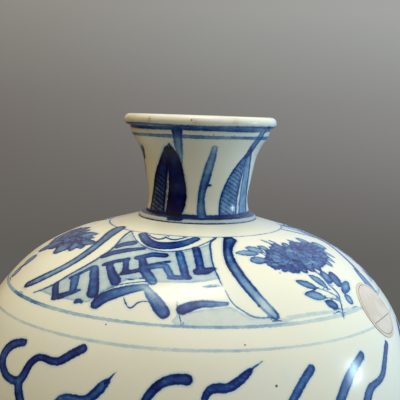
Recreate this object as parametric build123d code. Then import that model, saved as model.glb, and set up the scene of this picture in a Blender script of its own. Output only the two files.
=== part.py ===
"""A blue and white porcelain meiping vase, as the pieces that the potter throws and lutes together.

Millimetres, +Z up, origin at the middle of the foot. The wall is a body of revolution about Z. It is cut
at two bevelled joints into shoulder, belly and lower body. The neck stands in the shoulder's throat, the
base is let in from below, and slip covers each joint. Sections are drawn as (radius, height).
"""
from build123d import *
import os

os.makedirs("parts", exist_ok=True)

# Body
vase_height = 300.0
belly_radius = 87.5
shoulder_drop = 65.0  # from the neck's seat down to the widest circle
foot_waist_radius = 48.6
foot_waist_height = 24.0
foot_radius = 52.0
shoulder_wall = 5.0
foot_wall = 7.4
upper_joint_drop = 11.0  # below the widest circle
lower_joint_height = 96.0
joint_bevel = 4.0  # rise of a joint from the outside of the wall to the inside

# Neck and mouth
neck_height = 40.0  # from the shoulder's seat to the top of the rim
neck_offset = 0.6  # the neck was luted on a little to the right of the body's axis
seat_radius = 24.0
neck_foot_radius = 21.5
neck_bend_radius = 20.4
neck_bend_height = 3.2  # above the seat
neck_waist_radius = 19.7
neck_waist_height = 8.0  # above the seat
mouth_radius = 30.0
rim_height = 4.4
neck_wall = 3.6
mouth_rounding = 5.0  # from the top of the rim down to where the bore begins to round over
spigot_wall = 2.4
spigot_depth = 4.0
spigot_clearance = 0.3

# Foot and base
foot_ring_width = 7.0
foot_recess_depth = 8.0
foot_bevel = 1.2
base_thickness = 7.0
base_clearance = 0.2
base_hollow = 1.2

# Slip over the joints
bead_radius = 23.6
bead_height = 2.1
band_width = 11.0
band_thickness = 1.3
slip_clearance = 0.1  # fired slip shrinks a little clear of the wall behind it
base_fillet = 4.0

# Paper label
label_radius = 11.0
label_thickness = 0.2
label_drop = 26.5  # from the neck's seat down to its middle
label_azimuth = 62.0  # degrees round from the front, towards the right

# Share of the way out from the seat to the widest circle, and of the drop between them
shoulder_shares = (
    (0.156, 0.043),
    (0.331, 0.092),
    (0.496, 0.160),
    (0.638, 0.246),
    (0.756, 0.357),
    (0.846, 0.471),
    (0.921, 0.618),
)
# Share of the way in from the widest circle to the foot's waist, and of the drop between them
taper_shares = (
    (0.059, 0.175),
    (0.255, 0.351),
    (0.512, 0.526),
    (0.761, 0.702),
    (0.931, 0.860),
)
# Share of the way out from the neck's waist to the rim, and of the rise between them
flare_shares = (
    (0.110, 0.229),
    (0.242, 0.455),
    (0.473, 0.685),
    (0.681, 0.792),
    (0.868, 0.875),
)

# How finely a height is looked up on a curve, and a curve is copied at a distance
halvings = 40
copy_steps = 16

# Worked out from the sizes above
seat_height = vase_height - neck_height
belly_height = seat_height - shoulder_drop
waist_height = seat_height + neck_waist_height
rim_bottom = vase_height - rim_height
rim_roll = rim_height / 2
neck_top_radius = mouth_radius - rim_roll
bore_radius = neck_waist_radius - neck_wall
spigot_radius = bore_radius + spigot_wall
throat_radius = spigot_radius + spigot_clearance
ledge_radius = foot_waist_radius - foot_wall
recess_radius = foot_radius - foot_ring_width
base_radius = recess_radius - base_clearance
base_top = foot_recess_depth + base_thickness


def between(start, end, share):
    """The value that lies this share of the way from start to end."""
    return start + (end - start) * share


def wall_at(height):
    """Thickness of the wall, which grows from the shoulder down to the foot."""
    return between(foot_wall, shoulder_wall, height / seat_height)


def beside(curve, position, distance):
    """The point square to a curve at this position, on its left by distance."""
    place = curve @ position
    along = curve % position
    return (place.X - along.Y * distance, place.Y + along.X * distance)


def position_at(curve, height):
    """Where a curve that only rises or only falls passes this height, by halving."""
    low, high = 0.0, 1.0
    if (curve @ low).Y > (curve @ high).Y:
        low, high = high, low
    for _ in range(halvings):
        middle = (low + high) / 2
        if (curve @ middle).Y < height:
            low = middle
        else:
            high = middle
    return (low + high) / 2


def turned(section):
    """The ring that a section makes when it is turned round the Z axis."""
    return revolve(Plane.XZ * section, Axis.Z, 360)


def dome_curve():
    """The outside of the wall from the neck's seat out and down to the widest circle."""
    points = [(seat_radius, seat_height)]
    for out, down in shoulder_shares:
        radius = between(seat_radius, belly_radius, out)
        points.append((radius, between(seat_height, belly_height, down)))
    points.append((belly_radius, belly_height))
    first_slope = (points[1][0] - points[0][0], points[1][1] - points[0][1])
    return Spline(*points, tangents=(first_slope, (0, -1)))


def taper_curve():
    """The outside of the wall from the widest circle down and in to the waist of the foot."""
    points = [(belly_radius, belly_height)]
    for inward, down in taper_shares:
        radius = between(belly_radius, foot_waist_radius, inward)
        points.append((radius, between(belly_height, foot_waist_height, down)))
    points.append((foot_waist_radius, foot_waist_height))
    return Spline(*points, tangents=((0, -1), (0, -1)))


def foot_curve():
    """The outside of the foot, which spreads a little from its waist to the bevel of the ring."""
    waist = (foot_waist_radius, foot_waist_height)
    edge = (foot_radius, foot_bevel)
    spread = (foot_radius - foot_waist_radius, foot_bevel - foot_waist_height)
    return Spline(waist, edge, tangents=((0, -1), spread))


def inside_of(curve, end):
    """The points one wall's thickness inside a curve, between its ends, and then the end."""
    places = [step / copy_steps for step in range(1, copy_steps)]
    points = [beside(curve, place, -wall_at((curve @ place).Y)) for place in places]
    return points + [end]


def wall_section(dome, taper):
    """The whole wall in section, closed over the throat, which is cut through it later."""
    under_seat = (0, seat_height - shoulder_wall)
    widest = (belly_radius - wall_at(belly_height), belly_height)
    waist = (ledge_radius, foot_waist_height)
    edges = [
        Line(under_seat, (0, seat_height)),
        Line((0, seat_height), (seat_radius, seat_height)),
        dome,
        taper,
        foot_curve(),
        Line((foot_radius, foot_bevel), (foot_radius - foot_bevel, 0)),
        Line((foot_radius - foot_bevel, 0), (recess_radius + foot_bevel, 0)),
        Line((recess_radius + foot_bevel, 0), (recess_radius, foot_bevel)),
        Line((recess_radius, foot_bevel), (recess_radius, base_top)),
        Line((recess_radius, base_top), (ledge_radius, base_top)),
        Line((ledge_radius, base_top), waist),
        Spline(widest, *inside_of(taper, waist), tangents=((0, -1), (0, -1))),
        Spline(under_seat, *inside_of(dome, widest), tangents=((1, 0), (0, -1))),
    ]
    return make_face(edges)


def outside_at(dome, taper, height):
    """The curve that passes this height, and where on it."""
    curve = dome if height > belly_height else taper
    return curve, position_at(curve, height)


def below_joint(dome, taper, height):
    """All that lies below a bevelled joint, in section. The joint runs past both faces of the wall."""
    curve, position = outside_at(dome, taper, height)
    radius = (curve @ position).X
    wall = wall_at(height)
    outer_end = (radius + wall, height - joint_bevel)
    inner_end = (radius - 2 * wall, height + 2 * joint_bevel)
    reach = radius + belly_radius
    corners = [(0, 0), (reach, 0), (reach, outer_end[1]), outer_end, inner_end, (0, inner_end[1])]
    return make_face(Polyline(*corners, close=True))


def neck_section():
    """The neck about its own axis: spigot, spreading foot, waist, flare and rolled rim."""
    outside = [
        (neck_foot_radius, seat_height),
        (neck_bend_radius, seat_height + neck_bend_height),
        (neck_waist_radius, waist_height),
    ]
    for out, up in flare_shares:
        radius = between(neck_waist_radius, neck_top_radius, out)
        outside.append((radius, between(waist_height, rim_bottom, up)))
    outside.append((neck_top_radius, rim_bottom))
    outer = Spline(*outside)
    bore = [(bore_radius, waist_height)]
    for _, up in flare_shares[:-1]:
        position = position_at(outer, between(waist_height, rim_bottom, up))
        bore.append(beside(outer, position, neck_wall))
    bore.append((neck_top_radius - neck_wall, vase_height - mouth_rounding))
    bore.append((neck_top_radius, vase_height))
    spigot_end = seat_height - spigot_depth
    edges = [
        outer,
        ThreePointArc(
            (neck_top_radius, rim_bottom),
            (mouth_radius, rim_bottom + rim_roll),
            (neck_top_radius, vase_height),
        ),
        Spline(*bore, tangents=((0, 1), (1, 0))),
        Line((bore_radius, waist_height), (bore_radius, spigot_end)),
        Line((bore_radius, spigot_end), (spigot_radius, spigot_end)),
        Line((spigot_radius, spigot_end), (spigot_radius, seat_height)),
        Line((spigot_radius, seat_height), (neck_foot_radius, seat_height)),
    ]
    return make_face(edges)


def bead_section():
    """The rounded bead of slip and glaze round the neck's foot, before the neck is taken out of it."""
    edge = (bead_radius, seat_height)
    top = (neck_waist_radius, seat_height + bead_height)
    edges = [
        Spline(edge, top, tangents=((0, 1), (-1, 0))),
        Line(top, (neck_waist_radius, seat_height)),
        Line((neck_waist_radius, seat_height), edge),
    ]
    return make_face(edges)


def band_section(dome, taper, height, wall):
    """A smoothed band of slip over the inner end of a joint."""
    curve, position = outside_at(dome, taper, height)
    middle = beside(curve, position, -wall_at(height))
    along = curve % position
    turn = Vector(1, 0).get_signed_angle(Vector(along.X, along.Y), Vector(0, 0, 1))
    lens = Pos(*middle) * Rot(0, 0, turn) * Ellipse(band_width / 2, band_thickness)
    return Pos(-slip_clearance, 0) * (lens - wall)


def fillet_section(wall):
    """A hollow fillet of slip in the corner between the wall and the top of the base."""
    arm = base_fillet
    start = (ledge_radius - arm, base_top)
    end = (ledge_radius, base_top + arm)
    edges = [
        Spline(start, end, tangents=((1, 0), (0, 1))),
        Line(end, (ledge_radius + arm, base_top + arm)),
        Line((ledge_radius + arm, base_top + arm), (ledge_radius + arm, base_top)),
        Line((ledge_radius + arm, base_top), start),
    ]
    return Pos(-slip_clearance, slip_clearance) * (make_face(edges) - wall)


def base_piece():
    """The round base, flat on top and a little hollow underneath."""
    disc = Pos(0, 0, foot_recess_depth + base_thickness / 2) * Cylinder(base_radius, base_thickness)
    ball_radius = (base_radius**2 + base_hollow**2) / (2 * base_hollow)
    ball = Pos(0, 0, foot_recess_depth + base_hollow - ball_radius) * Sphere(ball_radius)
    return disc - ball


def filled_body(dome, taper, distance):
    """The upper body without its hollow, larger all round by distance."""
    points = [(0, seat_height + distance)]
    for curve in (dome, taper):
        places = [step / copy_steps for step in range(1, copy_steps + 1)]
        points += [beside(curve, place, distance) for place in places]
    bottom = (0, foot_waist_height)
    edges = [
        Spline(*points, tangents=((1, 0), (0, -1))),
        Line(points[-1], bottom),
        Line(bottom, points[0]),
    ]
    return turned(make_face(edges))


def label_piece(dome, taper, wall_ring):
    """The round label: a thin skin over the shoulder, inside a short tube that stands square to it."""
    curve, position = outside_at(dome, taper, seat_height - label_drop)
    place = curve @ position
    along = curve % position
    stand = Plane(origin=(place.X, 0, place.Y), z_dir=(-along.Y, 0, along.X))
    tube = stand * Cylinder(label_radius, 2 * label_radius)
    skin = (filled_body(dome, taper, label_thickness) & tube) - wall_ring
    outermost = skin.solids().sort_by(Axis.X)[-1]
    return Rot(0, 0, label_azimuth - 90) * outermost


dome = dome_curve()
taper = taper_curve()
wall = wall_section(dome, taper)
under_upper_joint = below_joint(dome, taper, belly_height - upper_joint_drop)
under_lower_joint = below_joint(dome, taper, lower_joint_height)
at_neck = Pos(neck_offset, 0, 0)
neck = at_neck * turned(neck_section())
throat = at_neck * Pos(0, 0, seat_height) * Cylinder(throat_radius, neck_height)

pieces = {
    "base_disc": base_piece(),
    "lower_body": turned(wall & under_lower_joint),
    "belly": turned((wall & under_upper_joint) - under_lower_joint),
    "shoulder": turned(wall - under_upper_joint) - throat,
    "neck": neck,
    "slip_seam_base": turned(fillet_section(wall)),
    "slip_seam_lower": turned(band_section(dome, taper, lower_joint_height, wall)),
    "slip_seam_upper": turned(band_section(dome, taper, belly_height - upper_joint_drop, wall)),
    "slip_seam_neck": at_neck * turned(bead_section()) - neck,
    "paper_label": label_piece(dome, taper, turned(wall)),
}
for name, shape in pieces.items():
    export_step(shape, f"parts/{name}.step")
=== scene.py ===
import math

import bmesh
import bpy
import numpy as np
from mathutils import Matrix, Vector
from mathutils.bvhtree import BVHTree


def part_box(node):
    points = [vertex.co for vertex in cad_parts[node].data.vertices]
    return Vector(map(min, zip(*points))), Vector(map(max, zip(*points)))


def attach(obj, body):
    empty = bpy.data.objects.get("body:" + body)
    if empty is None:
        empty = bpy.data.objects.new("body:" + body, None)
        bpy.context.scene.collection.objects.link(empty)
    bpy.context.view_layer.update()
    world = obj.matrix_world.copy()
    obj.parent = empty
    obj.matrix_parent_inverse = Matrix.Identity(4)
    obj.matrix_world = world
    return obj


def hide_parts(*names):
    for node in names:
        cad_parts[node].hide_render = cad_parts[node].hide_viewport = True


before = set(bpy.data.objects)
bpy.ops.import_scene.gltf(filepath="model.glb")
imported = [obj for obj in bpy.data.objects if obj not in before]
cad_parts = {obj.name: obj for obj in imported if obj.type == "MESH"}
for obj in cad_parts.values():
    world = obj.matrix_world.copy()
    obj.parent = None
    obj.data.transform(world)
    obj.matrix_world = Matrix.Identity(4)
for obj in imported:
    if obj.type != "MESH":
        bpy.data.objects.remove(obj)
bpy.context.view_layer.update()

MM = 0.001

# Camera, from the photograph's own perspective
eye_mm = (0.0, -293.7, 300.8)
eye_pitch = math.radians(6.69)
eye_yaw = math.radians(0.28)
eye_roll = math.radians(1.92)
focal_px = 738.3
picture_px = 400.0
sensor_mm = 36.0

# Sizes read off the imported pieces, in millimetres
neck_low, neck_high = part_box("neck")
shoulder_low, shoulder_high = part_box("shoulder")
bead_low, bead_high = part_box("slip_seam_neck")
base_box_low, base_box_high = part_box("base_disc")
vase_height = neck_high.z / MM
belly_radius = shoulder_high.x / MM
upper_joint = shoulder_low.z / MM
seat_height = bead_low.z / MM
bead_top = bead_high.z / MM
neck_axis = (neck_low.x + neck_high.x) / 2 / MM
bead_radius = bead_high.x / MM - neck_axis
mouth_radius = neck_high.x / MM - neck_axis
spigot_end = neck_low.z / MM
base_low = base_box_low.z / MM
base_top = base_box_high.z / MM
base_radius = base_box_high.x / MM

# Outline of the wall, as the part has it
shoulder_drop = 65.0
foot_waist_radius = 48.6
foot_waist_height = 24.0
foot_radius = 52.0
foot_bevel = 1.2
foot_ring_width = 7.0
foot_wall = 7.4
shoulder_wall = 5.0
lower_joint = 96.0
joint_bevel = 4.0
seat_radius = 24.0
neck_foot_radius = 21.5
neck_bend = (20.4, 3.2)
neck_waist = (19.7, 8.0)
rim_height = 4.4
neck_wall = 3.6
mouth_rounding = 5.0
spigot_wall = 2.4
spigot_clearance = 0.3
base_hollow = 1.2
foot_rounding = 0.3
base_bevel = 0.4
inside_end = 1.5
shoulder_shares = (
    (0.156, 0.043), (0.331, 0.092), (0.496, 0.160), (0.638, 0.246),
    (0.756, 0.357), (0.846, 0.471), (0.921, 0.618),
)
taper_shares = ((0.059, 0.175), (0.255, 0.351), (0.512, 0.526), (0.761, 0.702), (0.931, 0.860))
flare_shares = ((0.110, 0.229), (0.242, 0.455), (0.473, 0.685), (0.681, 0.792), (0.868, 0.875))
belly_height = seat_height - shoulder_drop
waist_height = seat_height + neck_waist[1]
rim_bottom = vase_height - rim_height
rim_roll = rim_height / 2
neck_top_radius = mouth_radius - rim_roll
bore_radius = neck_waist[0] - neck_wall
spigot_radius = bore_radius + spigot_wall
throat_radius = spigot_radius + spigot_clearance
ledge_radius = foot_waist_radius - foot_wall
recess_radius = foot_radius - foot_ring_width


def lin(red, green, blue, alpha=1.0):
    """A colour given in 0 to 255 as the screen shows it, in Blender's linear values."""
    out = []
    for value in (red, green, blue):
        value = value / 255
        out.append(value / 12.92 if value <= 0.04045 else ((value + 0.055) / 1.055) ** 2.4)
    return (*out, alpha)


# Camera

def eye_axes():
    """The picture's right, up and forward directions."""
    flat = math.cos(eye_pitch)
    forward = Vector((math.sin(eye_yaw) * flat, math.cos(eye_yaw) * flat, -math.sin(eye_pitch)))
    level = Vector((math.cos(eye_yaw), -math.sin(eye_yaw), 0.0))
    upright = level.cross(forward)
    right = level * math.cos(eye_roll) + upright * math.sin(eye_roll)
    up = upright * math.cos(eye_roll) - level * math.sin(eye_roll)
    return right, up, forward


eye = Vector(eye_mm)
eye_right, eye_up, eye_forward = eye_axes()
camera_data = bpy.data.cameras.new("camera")
camera_data.sensor_width = sensor_mm
camera_data.lens = focal_px / picture_px * sensor_mm
camera_data.clip_start = 0.01
camera_data.clip_end = 50.0
camera = bpy.data.objects.new("camera", camera_data)
camera.matrix_world = Matrix((
    (eye_right.x, eye_up.x, -eye_forward.x, eye.x * MM),
    (eye_right.y, eye_up.y, -eye_forward.y, eye.y * MM),
    (eye_right.z, eye_up.z, -eye_forward.z, eye.z * MM),
    (0, 0, 0, 1),
))
bpy.context.scene.collection.objects.link(camera)
bpy.context.scene.camera = camera


# Outlines

def between(start, end, share):
    return start + (end - start) * share


def run_of(line):
    """How far along a line each of its points lies."""
    return np.concatenate([[0.0], np.cumsum(np.linalg.norm(np.diff(line, axis=0), axis=1))])


def smooth_line(points, first=None, last=None, fineness=60):
    """A smooth curve through the points, as a fine polyline. Slopes at the ends are optional."""
    p = np.array(points, float)
    count = len(p)
    gaps = np.diff(run_of(p))
    matrix = np.zeros((count, count))
    right = np.zeros((count, p.shape[1]))
    for i in range(1, count - 1):
        matrix[i, i - 1] = gaps[i]
        matrix[i, i] = 2 * (gaps[i - 1] + gaps[i])
        matrix[i, i + 1] = gaps[i - 1]
        before = gaps[i] * (p[i] - p[i - 1]) / gaps[i - 1]
        after = gaps[i - 1] * (p[i + 1] - p[i]) / gaps[i]
        right[i] = 3 * (before + after)
    for row, slope, neighbour in ((0, first, 1), (count - 1, last, count - 2)):
        matrix[row, row] = 1
        if slope is None:
            matrix[row, row] = 2
            matrix[row, neighbour] = 1
            a, b = min(row, neighbour), max(row, neighbour)
            right[row] = 3 * (p[b] - p[a]) / gaps[a]
        else:
            slope = np.array(slope, float)
            right[row] = slope / np.linalg.norm(slope)
    slopes = np.linalg.solve(matrix, right)
    out = []
    for i in range(count - 1):
        t = np.linspace(0, 1, fineness, endpoint=False)[:, None]
        h = gaps[i]
        out.append((2 * t**3 - 3 * t**2 + 1) * p[i] + (t**3 - 2 * t**2 + t) * h * slopes[i]
                   + (3 * t**2 - 2 * t**3) * p[i + 1] + (t**3 - t**2) * h * slopes[i + 1])
    out.append(p[-1:])
    return np.vstack(out)


def spaced(line, spacing):
    """The same line with points at an even spacing, as its first two columns measure it."""
    run = run_of(line[:, :2])
    count = max(2, int(math.ceil(run[-1] / spacing)) + 1)
    places = np.linspace(0, run[-1], count)
    return np.stack([np.interp(places, run, line[:, k]) for k in range(line.shape[1])], 1)


def part_of(line, low, high):
    """The stretch of a falling outline between two heights, ends included."""
    heights = line[:, 1]
    radii = line[:, 0]
    order = np.argsort(heights)
    ends = [(np.interp(h, heights[order], radii[order]), h) for h in (high, low)]
    inside = line[(heights < high) & (heights > low)]
    return np.vstack([ends[:1], inside, ends[1:]])


def inset(line, thickness):
    """An outline moved sideways by one thickness or one for each point: inwards where it falls."""
    along = np.gradient(line, axis=0)
    along /= np.linalg.norm(along, axis=1)[:, None]
    return line + np.stack([along[:, 1], -along[:, 0]], 1) * np.reshape(thickness, (-1, 1))


def wall_thickness(height):
    return between(foot_wall, shoulder_wall, height / seat_height)


def knots(first, last, shares):
    """Two places of an outline and those between them, each by its shares of the way in radius and height."""
    places = [first]
    for out, along in shares:
        places.append((between(first[0], last[0], out), between(first[1], last[1], along)))
    return places + [last]


down = (0, -1)
widest = (belly_radius, belly_height)
foot_waist = (foot_waist_radius, foot_waist_height)
foot_edge = (foot_radius, foot_bevel)
dome_knots = knots((seat_radius, seat_height), widest, shoulder_shares)
dome = smooth_line(dome_knots, np.subtract(dome_knots[1], dome_knots[0]), down)
taper = smooth_line(knots(widest, foot_waist, taper_shares), down, down)
foot = smooth_line([foot_waist, foot_edge], down, np.subtract(foot_edge, foot_waist))
outside = np.vstack([dome, taper[1:], foot[1:]])
above_foot = np.vstack([dome, taper[1:]])
inside = inset(above_foot, wall_thickness(above_foot[:, 1]))
inside = inside[(inside[:, 0] > throat_radius + inside_end) & (inside[:, 1] > foot_waist_height)]

neck_knots = [(neck_foot_radius, seat_height), (neck_bend[0], seat_height + neck_bend[1])]
neck_knots += knots((neck_waist[0], waist_height), (neck_top_radius, rim_bottom), flare_shares)
neck_outside = smooth_line(neck_knots)


def radius_at(line, height):
    order = np.argsort(line[:, 1])
    return np.interp(height, line[order, 1], line[order, 0])


# Turned pieces

doublings = 4
merge_distance = 1e-6
sharp_angle = math.radians(35)


def turned(name, section, steps, axis=0.0, closed=True):
    """A piece turned round the vase's axis, or the neck's, from a section in (radius, height)."""
    bm = bmesh.new()
    points = [bm.verts.new(((axis + r) * MM, 0, z * MM)) for r, z in section]
    pairs = list(zip(points, points[1:]))
    if closed:
        pairs.append((points[-1], points[0]))
    edges = [bm.edges.new(pair) for pair in pairs]
    middle = (axis * MM, 0, 0)
    sector = math.tau / 2**doublings
    turns = steps // 2**doublings
    bmesh.ops.spin(bm, geom=points + edges, cent=middle, axis=(0, 0, 1), angle=sector, steps=turns)
    for doubling in range(doublings):
        whole = bm.verts[:] + bm.edges[:] + bm.faces[:]
        copy = bmesh.ops.duplicate(bm, geom=whole)["geom"]
        copied = [part for part in copy if isinstance(part, bmesh.types.BMVert)]
        turn = Matrix.Rotation(sector * 2**doubling, 3, "Z")
        bmesh.ops.rotate(bm, verts=copied, cent=middle, matrix=turn)
    bmesh.ops.remove_doubles(bm, verts=bm.verts, dist=merge_distance)
    bmesh.ops.recalc_face_normals(bm, faces=bm.faces)
    return finished(name, bm)


def finished(name, bm):
    """An object with the bmesh's shape, smooth but for its sharp edges."""
    mesh = bpy.data.meshes.new(name)
    bm.to_mesh(mesh)
    bm.free()
    mesh.polygons.foreach_set("use_smooth", [True] * len(mesh.polygons))
    mesh.set_sharp_from_angle(angle=sharp_angle)
    obj = bpy.data.objects.new(name, mesh)
    bpy.context.scene.collection.objects.link(obj)
    return obj


def places_of(obj):
    """Where an object's vertices are, in millimetres."""
    values = np.empty(len(obj.data.vertices) * 3, np.float32)
    obj.data.vertices.foreach_get("co", values)
    return values.reshape(-1, 3).astype(float) / MM


def move_to(obj, places):
    obj.data.vertices.foreach_set("co", (places * MM).astype(np.float32).ravel())
    obj.data.update()


# Faces round each piece, and how far apart the rows of faces are
around = 720
around_neck = 608
around_bead = 240
around_base = 128
shoulder_spacing = 0.95
body_spacing = 1.0
neck_spacing = 0.40
bore_spacing = 1.6
bead_spacing = 0.16
bead_back_spacing = 0.5
hollow_spacing = 8.0
dome_hollow_spacing = 11.0

# Small steps, gaps and shares of the sections
joint_search = 3
joint_steps = 400
roll_points = 19
under_points = 24
bead_overlap = 0.05
throat_gap = 0.1
ledge_gap = 0.2
throat_margin = 0.5
base_middle_share = 0.6


def joint_inside(height):
    """How high a bevelled joint comes out on the inside of the wall, from its height on the outside."""
    start = np.array((radius_at(outside, height), height))
    direction = np.array([-joint_search * wall_thickness(height), joint_search * joint_bevel])
    steps = start + np.linspace(0, 1, joint_steps)[:, None] * direction
    crossing = np.argmax(steps[:, 0] < radius_at(inside, steps[:, 1]))
    return steps[crossing, 1]


upper_joint_inside = joint_inside(upper_joint)
lower_joint_inside = joint_inside(lower_joint)


def rising(line, low, high, spacing):
    return spaced(part_of(line, low, high), spacing)[::-1]


throat_floor = inside[0][1]
shoulder_section = np.vstack([
    [(throat_radius, seat_height)],
    spaced(part_of(outside[1:], upper_joint, seat_height), shoulder_spacing),
    rising(inside, upper_joint_inside, throat_floor, dome_hollow_spacing),
    [(throat_radius, throat_floor + throat_gap)],
])
belly_section = np.vstack([
    spaced(part_of(outside, lower_joint, upper_joint), body_spacing),
    rising(inside, lower_joint_inside, upper_joint_inside, hollow_spacing),
])
bevel_rise = foot_bevel * foot_rounding
foot_ring = [
    (foot_radius - bevel_rise, bevel_rise), (foot_radius - foot_bevel, 0),
    (recess_radius + foot_bevel, 0), (recess_radius + bevel_rise, bevel_rise),
    (recess_radius, foot_bevel), (recess_radius, base_low),
    (recess_radius, base_top), (ledge_radius, base_top),
]
lower_section = np.vstack([
    spaced(part_of(outside, foot_bevel, lower_joint), body_spacing),
    foot_ring,
    rising(inside, foot_waist_height + ledge_gap, lower_joint_inside, hollow_spacing),
])
bore_knots = [(bore_radius, waist_height)]
neck_inner = inset(neck_outside, -neck_wall)
for _, up in flare_shares[:-1]:
    nearest = np.argmin(abs(neck_outside[:, 1] - between(waist_height, rim_bottom, up)))
    bore_knots.append(tuple(neck_inner[nearest]))
bore_knots += [(neck_top_radius - neck_wall, vase_height - mouth_rounding), (neck_top_radius, vase_height)]
bore = smooth_line(bore_knots, (0, 1), (1, 0))
roll_turn = np.radians(np.linspace(-90, 90, roll_points))[1:-1]
roll_out = neck_top_radius + rim_roll * np.cos(roll_turn)
roll = np.stack([roll_out, rim_bottom + rim_roll * (1 + np.sin(roll_turn))], 1)
neck_section = np.vstack([
    spaced(neck_outside, neck_spacing),
    roll,
    spaced(bore, bore_spacing)[::-1],
    [(bore_radius, spigot_end), (spigot_radius, spigot_end), (spigot_radius, seat_height)],
])
bead_edge = (neck_waist[0], bead_top + bead_overlap)
bead_line = smooth_line([(bead_radius, seat_height), bead_edge], (0, 1), (-1, 0))
bead_line = bead_line[bead_line[:, 0] > radius_at(neck_outside, bead_line[:, 1])]
bead_back = rising(neck_outside, seat_height, bead_line[-1][1], bead_back_spacing)[1:]
bead_section = np.vstack([spaced(bead_line, bead_spacing), bead_back[::-1]])
ball_radius = (base_radius**2 + base_hollow**2) / (2 * base_hollow)
under = np.linspace(0, base_radius, under_points)
under_rise = ball_radius - np.sqrt(ball_radius**2 - under**2)
base_section = np.vstack([
    np.stack([under, base_low + base_hollow - under_rise], 1),
    [(base_radius, base_low + base_bevel), (base_radius, base_top - base_bevel)],
    [(base_radius - base_bevel, base_top), (base_radius * base_middle_share, base_top), (0, base_top)],
])

shoulder = turned("shoulder_porcelain", shoulder_section, around)
belly = turned("belly_porcelain", belly_section, around)
lower_body = turned("lower_body_porcelain", lower_section, around)
neck = turned("neck_porcelain", neck_section, around_neck, neck_axis)
bead = turned("glaze_bead", bead_section, around_bead, neck_axis)
base = turned("base_porcelain", base_section, around_base, closed=False)

# The throat follows the neck, which stands a little off the vase's axis
places = places_of(shoulder)
throat = np.hypot(places[:, 0], places[:, 1]) < throat_radius + throat_margin
places[throat, 0] += neck_axis
move_to(shoulder, places)


def target_of(*objects):
    """What the photograph's sight lines are laid on."""
    points = []
    faces = []
    for obj in objects:
        first = len(points)
        points += [tuple(p) for p in places_of(obj)]
        faces += [tuple(first + i for i in face.vertices) for face in obj.data.polygons]
    return BVHTree.FromPolygons(points, faces)


wall_target = target_of(shoulder, belly)
neck_target = target_of(neck)


def seen_at(x, y, target):
    """The place on the wall that the photograph shows at a pixel."""
    middle = picture_px / 2
    sight = eye_forward * focal_px + eye_right * (x - middle) - eye_up * (y - middle)
    hit = target.ray_cast(eye, sight.normalized())[0]
    return None if hit is None else np.array(hit)


def on_wall(azimuth, height, line=outside, axis=0.0):
    """A place on the outside by its turn from the front, in degrees, and its height."""
    radius = radius_at(line, height)
    angle = math.radians(azimuth)
    return np.array([axis + radius * math.sin(angle), -radius * math.cos(angle), height])


# Brush strokes

class Stroke:
    """A brush stroke as places on the wall, each with half the brush's width and the load of cobalt."""

    def __init__(self, places, halves=0.0, loads=0.0):
        self.places = np.array(places, float)
        self.halves = np.ones(len(places)) * halves
        self.loads = np.ones(len(places)) * loads

    def copied(self, degrees, axis=0.0):
        angle = math.radians(degrees)
        c, s = math.cos(angle), math.sin(angle)
        x = self.places[:, 0] - axis
        y = self.places[:, 1]
        turned_places = np.stack([axis + x * c - y * s, x * s + y * c, self.places[:, 2]], 1)
        return Stroke(turned_places, self.halves, self.loads)


# Steps along traced strokes, and the most that a pixel spans on a wall seen at a slant
stroke_fineness = 24
trace_step_px = 1.6
widest_px_mm = 1.2


def fine_points(points, step, bend):
    """Points along a drawn line, smooth or straight between the given ones."""
    p = np.array(points, float)
    line = smooth_line(p, fineness=stroke_fineness) if bend and len(p) > 2 else p
    return spaced(line, step)


def traced(points_px, start_load, end_load, target, bend=True):
    """A stroke drawn over the photograph: (x, y, half its width) in pixels, laid on the wall.

    A fourth value at each point is the load of cobalt there, and otherwise it runs evenly from start to end.
    """
    fine = fine_points(points_px, trace_step_px, bend)
    ways = np.gradient(fine[:, :2], axis=0)
    ways /= np.maximum(np.linalg.norm(ways, axis=1), 1e-9)[:, None]
    loads = fine[:, 3] if fine.shape[1] > 3 else np.linspace(start_load, end_load, len(fine))
    rows = []
    for (x, y, half), (wx, wy), load in zip(fine[:, :3], ways, loads):
        middle = seen_at(x, y, target)
        ahead = seen_at(x + wx, y + wy, target)
        beside = seen_at(x - wy, y + wx, target)
        if middle is not None and ahead is not None and beside is not None:
            forward = (ahead - middle) / max(np.linalg.norm(ahead - middle), 1e-9)
            across = beside - middle
            across = across - forward * float(across @ forward)
            rows.append((middle, min(np.linalg.norm(across), widest_px_mm) * half, load))
    return Stroke(*zip(*rows))


def traced_area(corners_px, target, step):
    """The edge of an area drawn over the photograph, laid on the wall."""
    line = fine_points([(x, y, 0) for x, y in corners_px + corners_px[:1]], step, False)
    spots = [seen_at(x, y, target) for x, y, _ in line[:-1]]
    return Stroke([spot for spot in spots if spot is not None])


def drawn(points, start_load, end_load, line=outside, axis=0.0, step=1.5):
    """A stroke drawn on the wall: (turn from the front in degrees, height, half its width)."""
    p = np.array(points, float)
    scale = np.array([radius_at(line, p[:, 1].mean()) * math.pi / 180, 1, 1])
    fine = fine_points(p * scale, step, bend=True) / scale
    places = [on_wall(a, h, line, axis) for a, h, _ in fine]
    return Stroke(places, fine[:, 2], np.linspace(start_load, end_load, len(fine)))


# How far from a stroke the vertices count, then how the wheel's lines sway
far_off = 4.0
reach = 3.2
area_margin = 1.0
outer_depth = 0.8
sway_rates = (1, 2, 3, 5, 8)
ring_load_sway = 0.13
ring_width_sway = 0.12
ring_width_swells = 4


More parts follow.
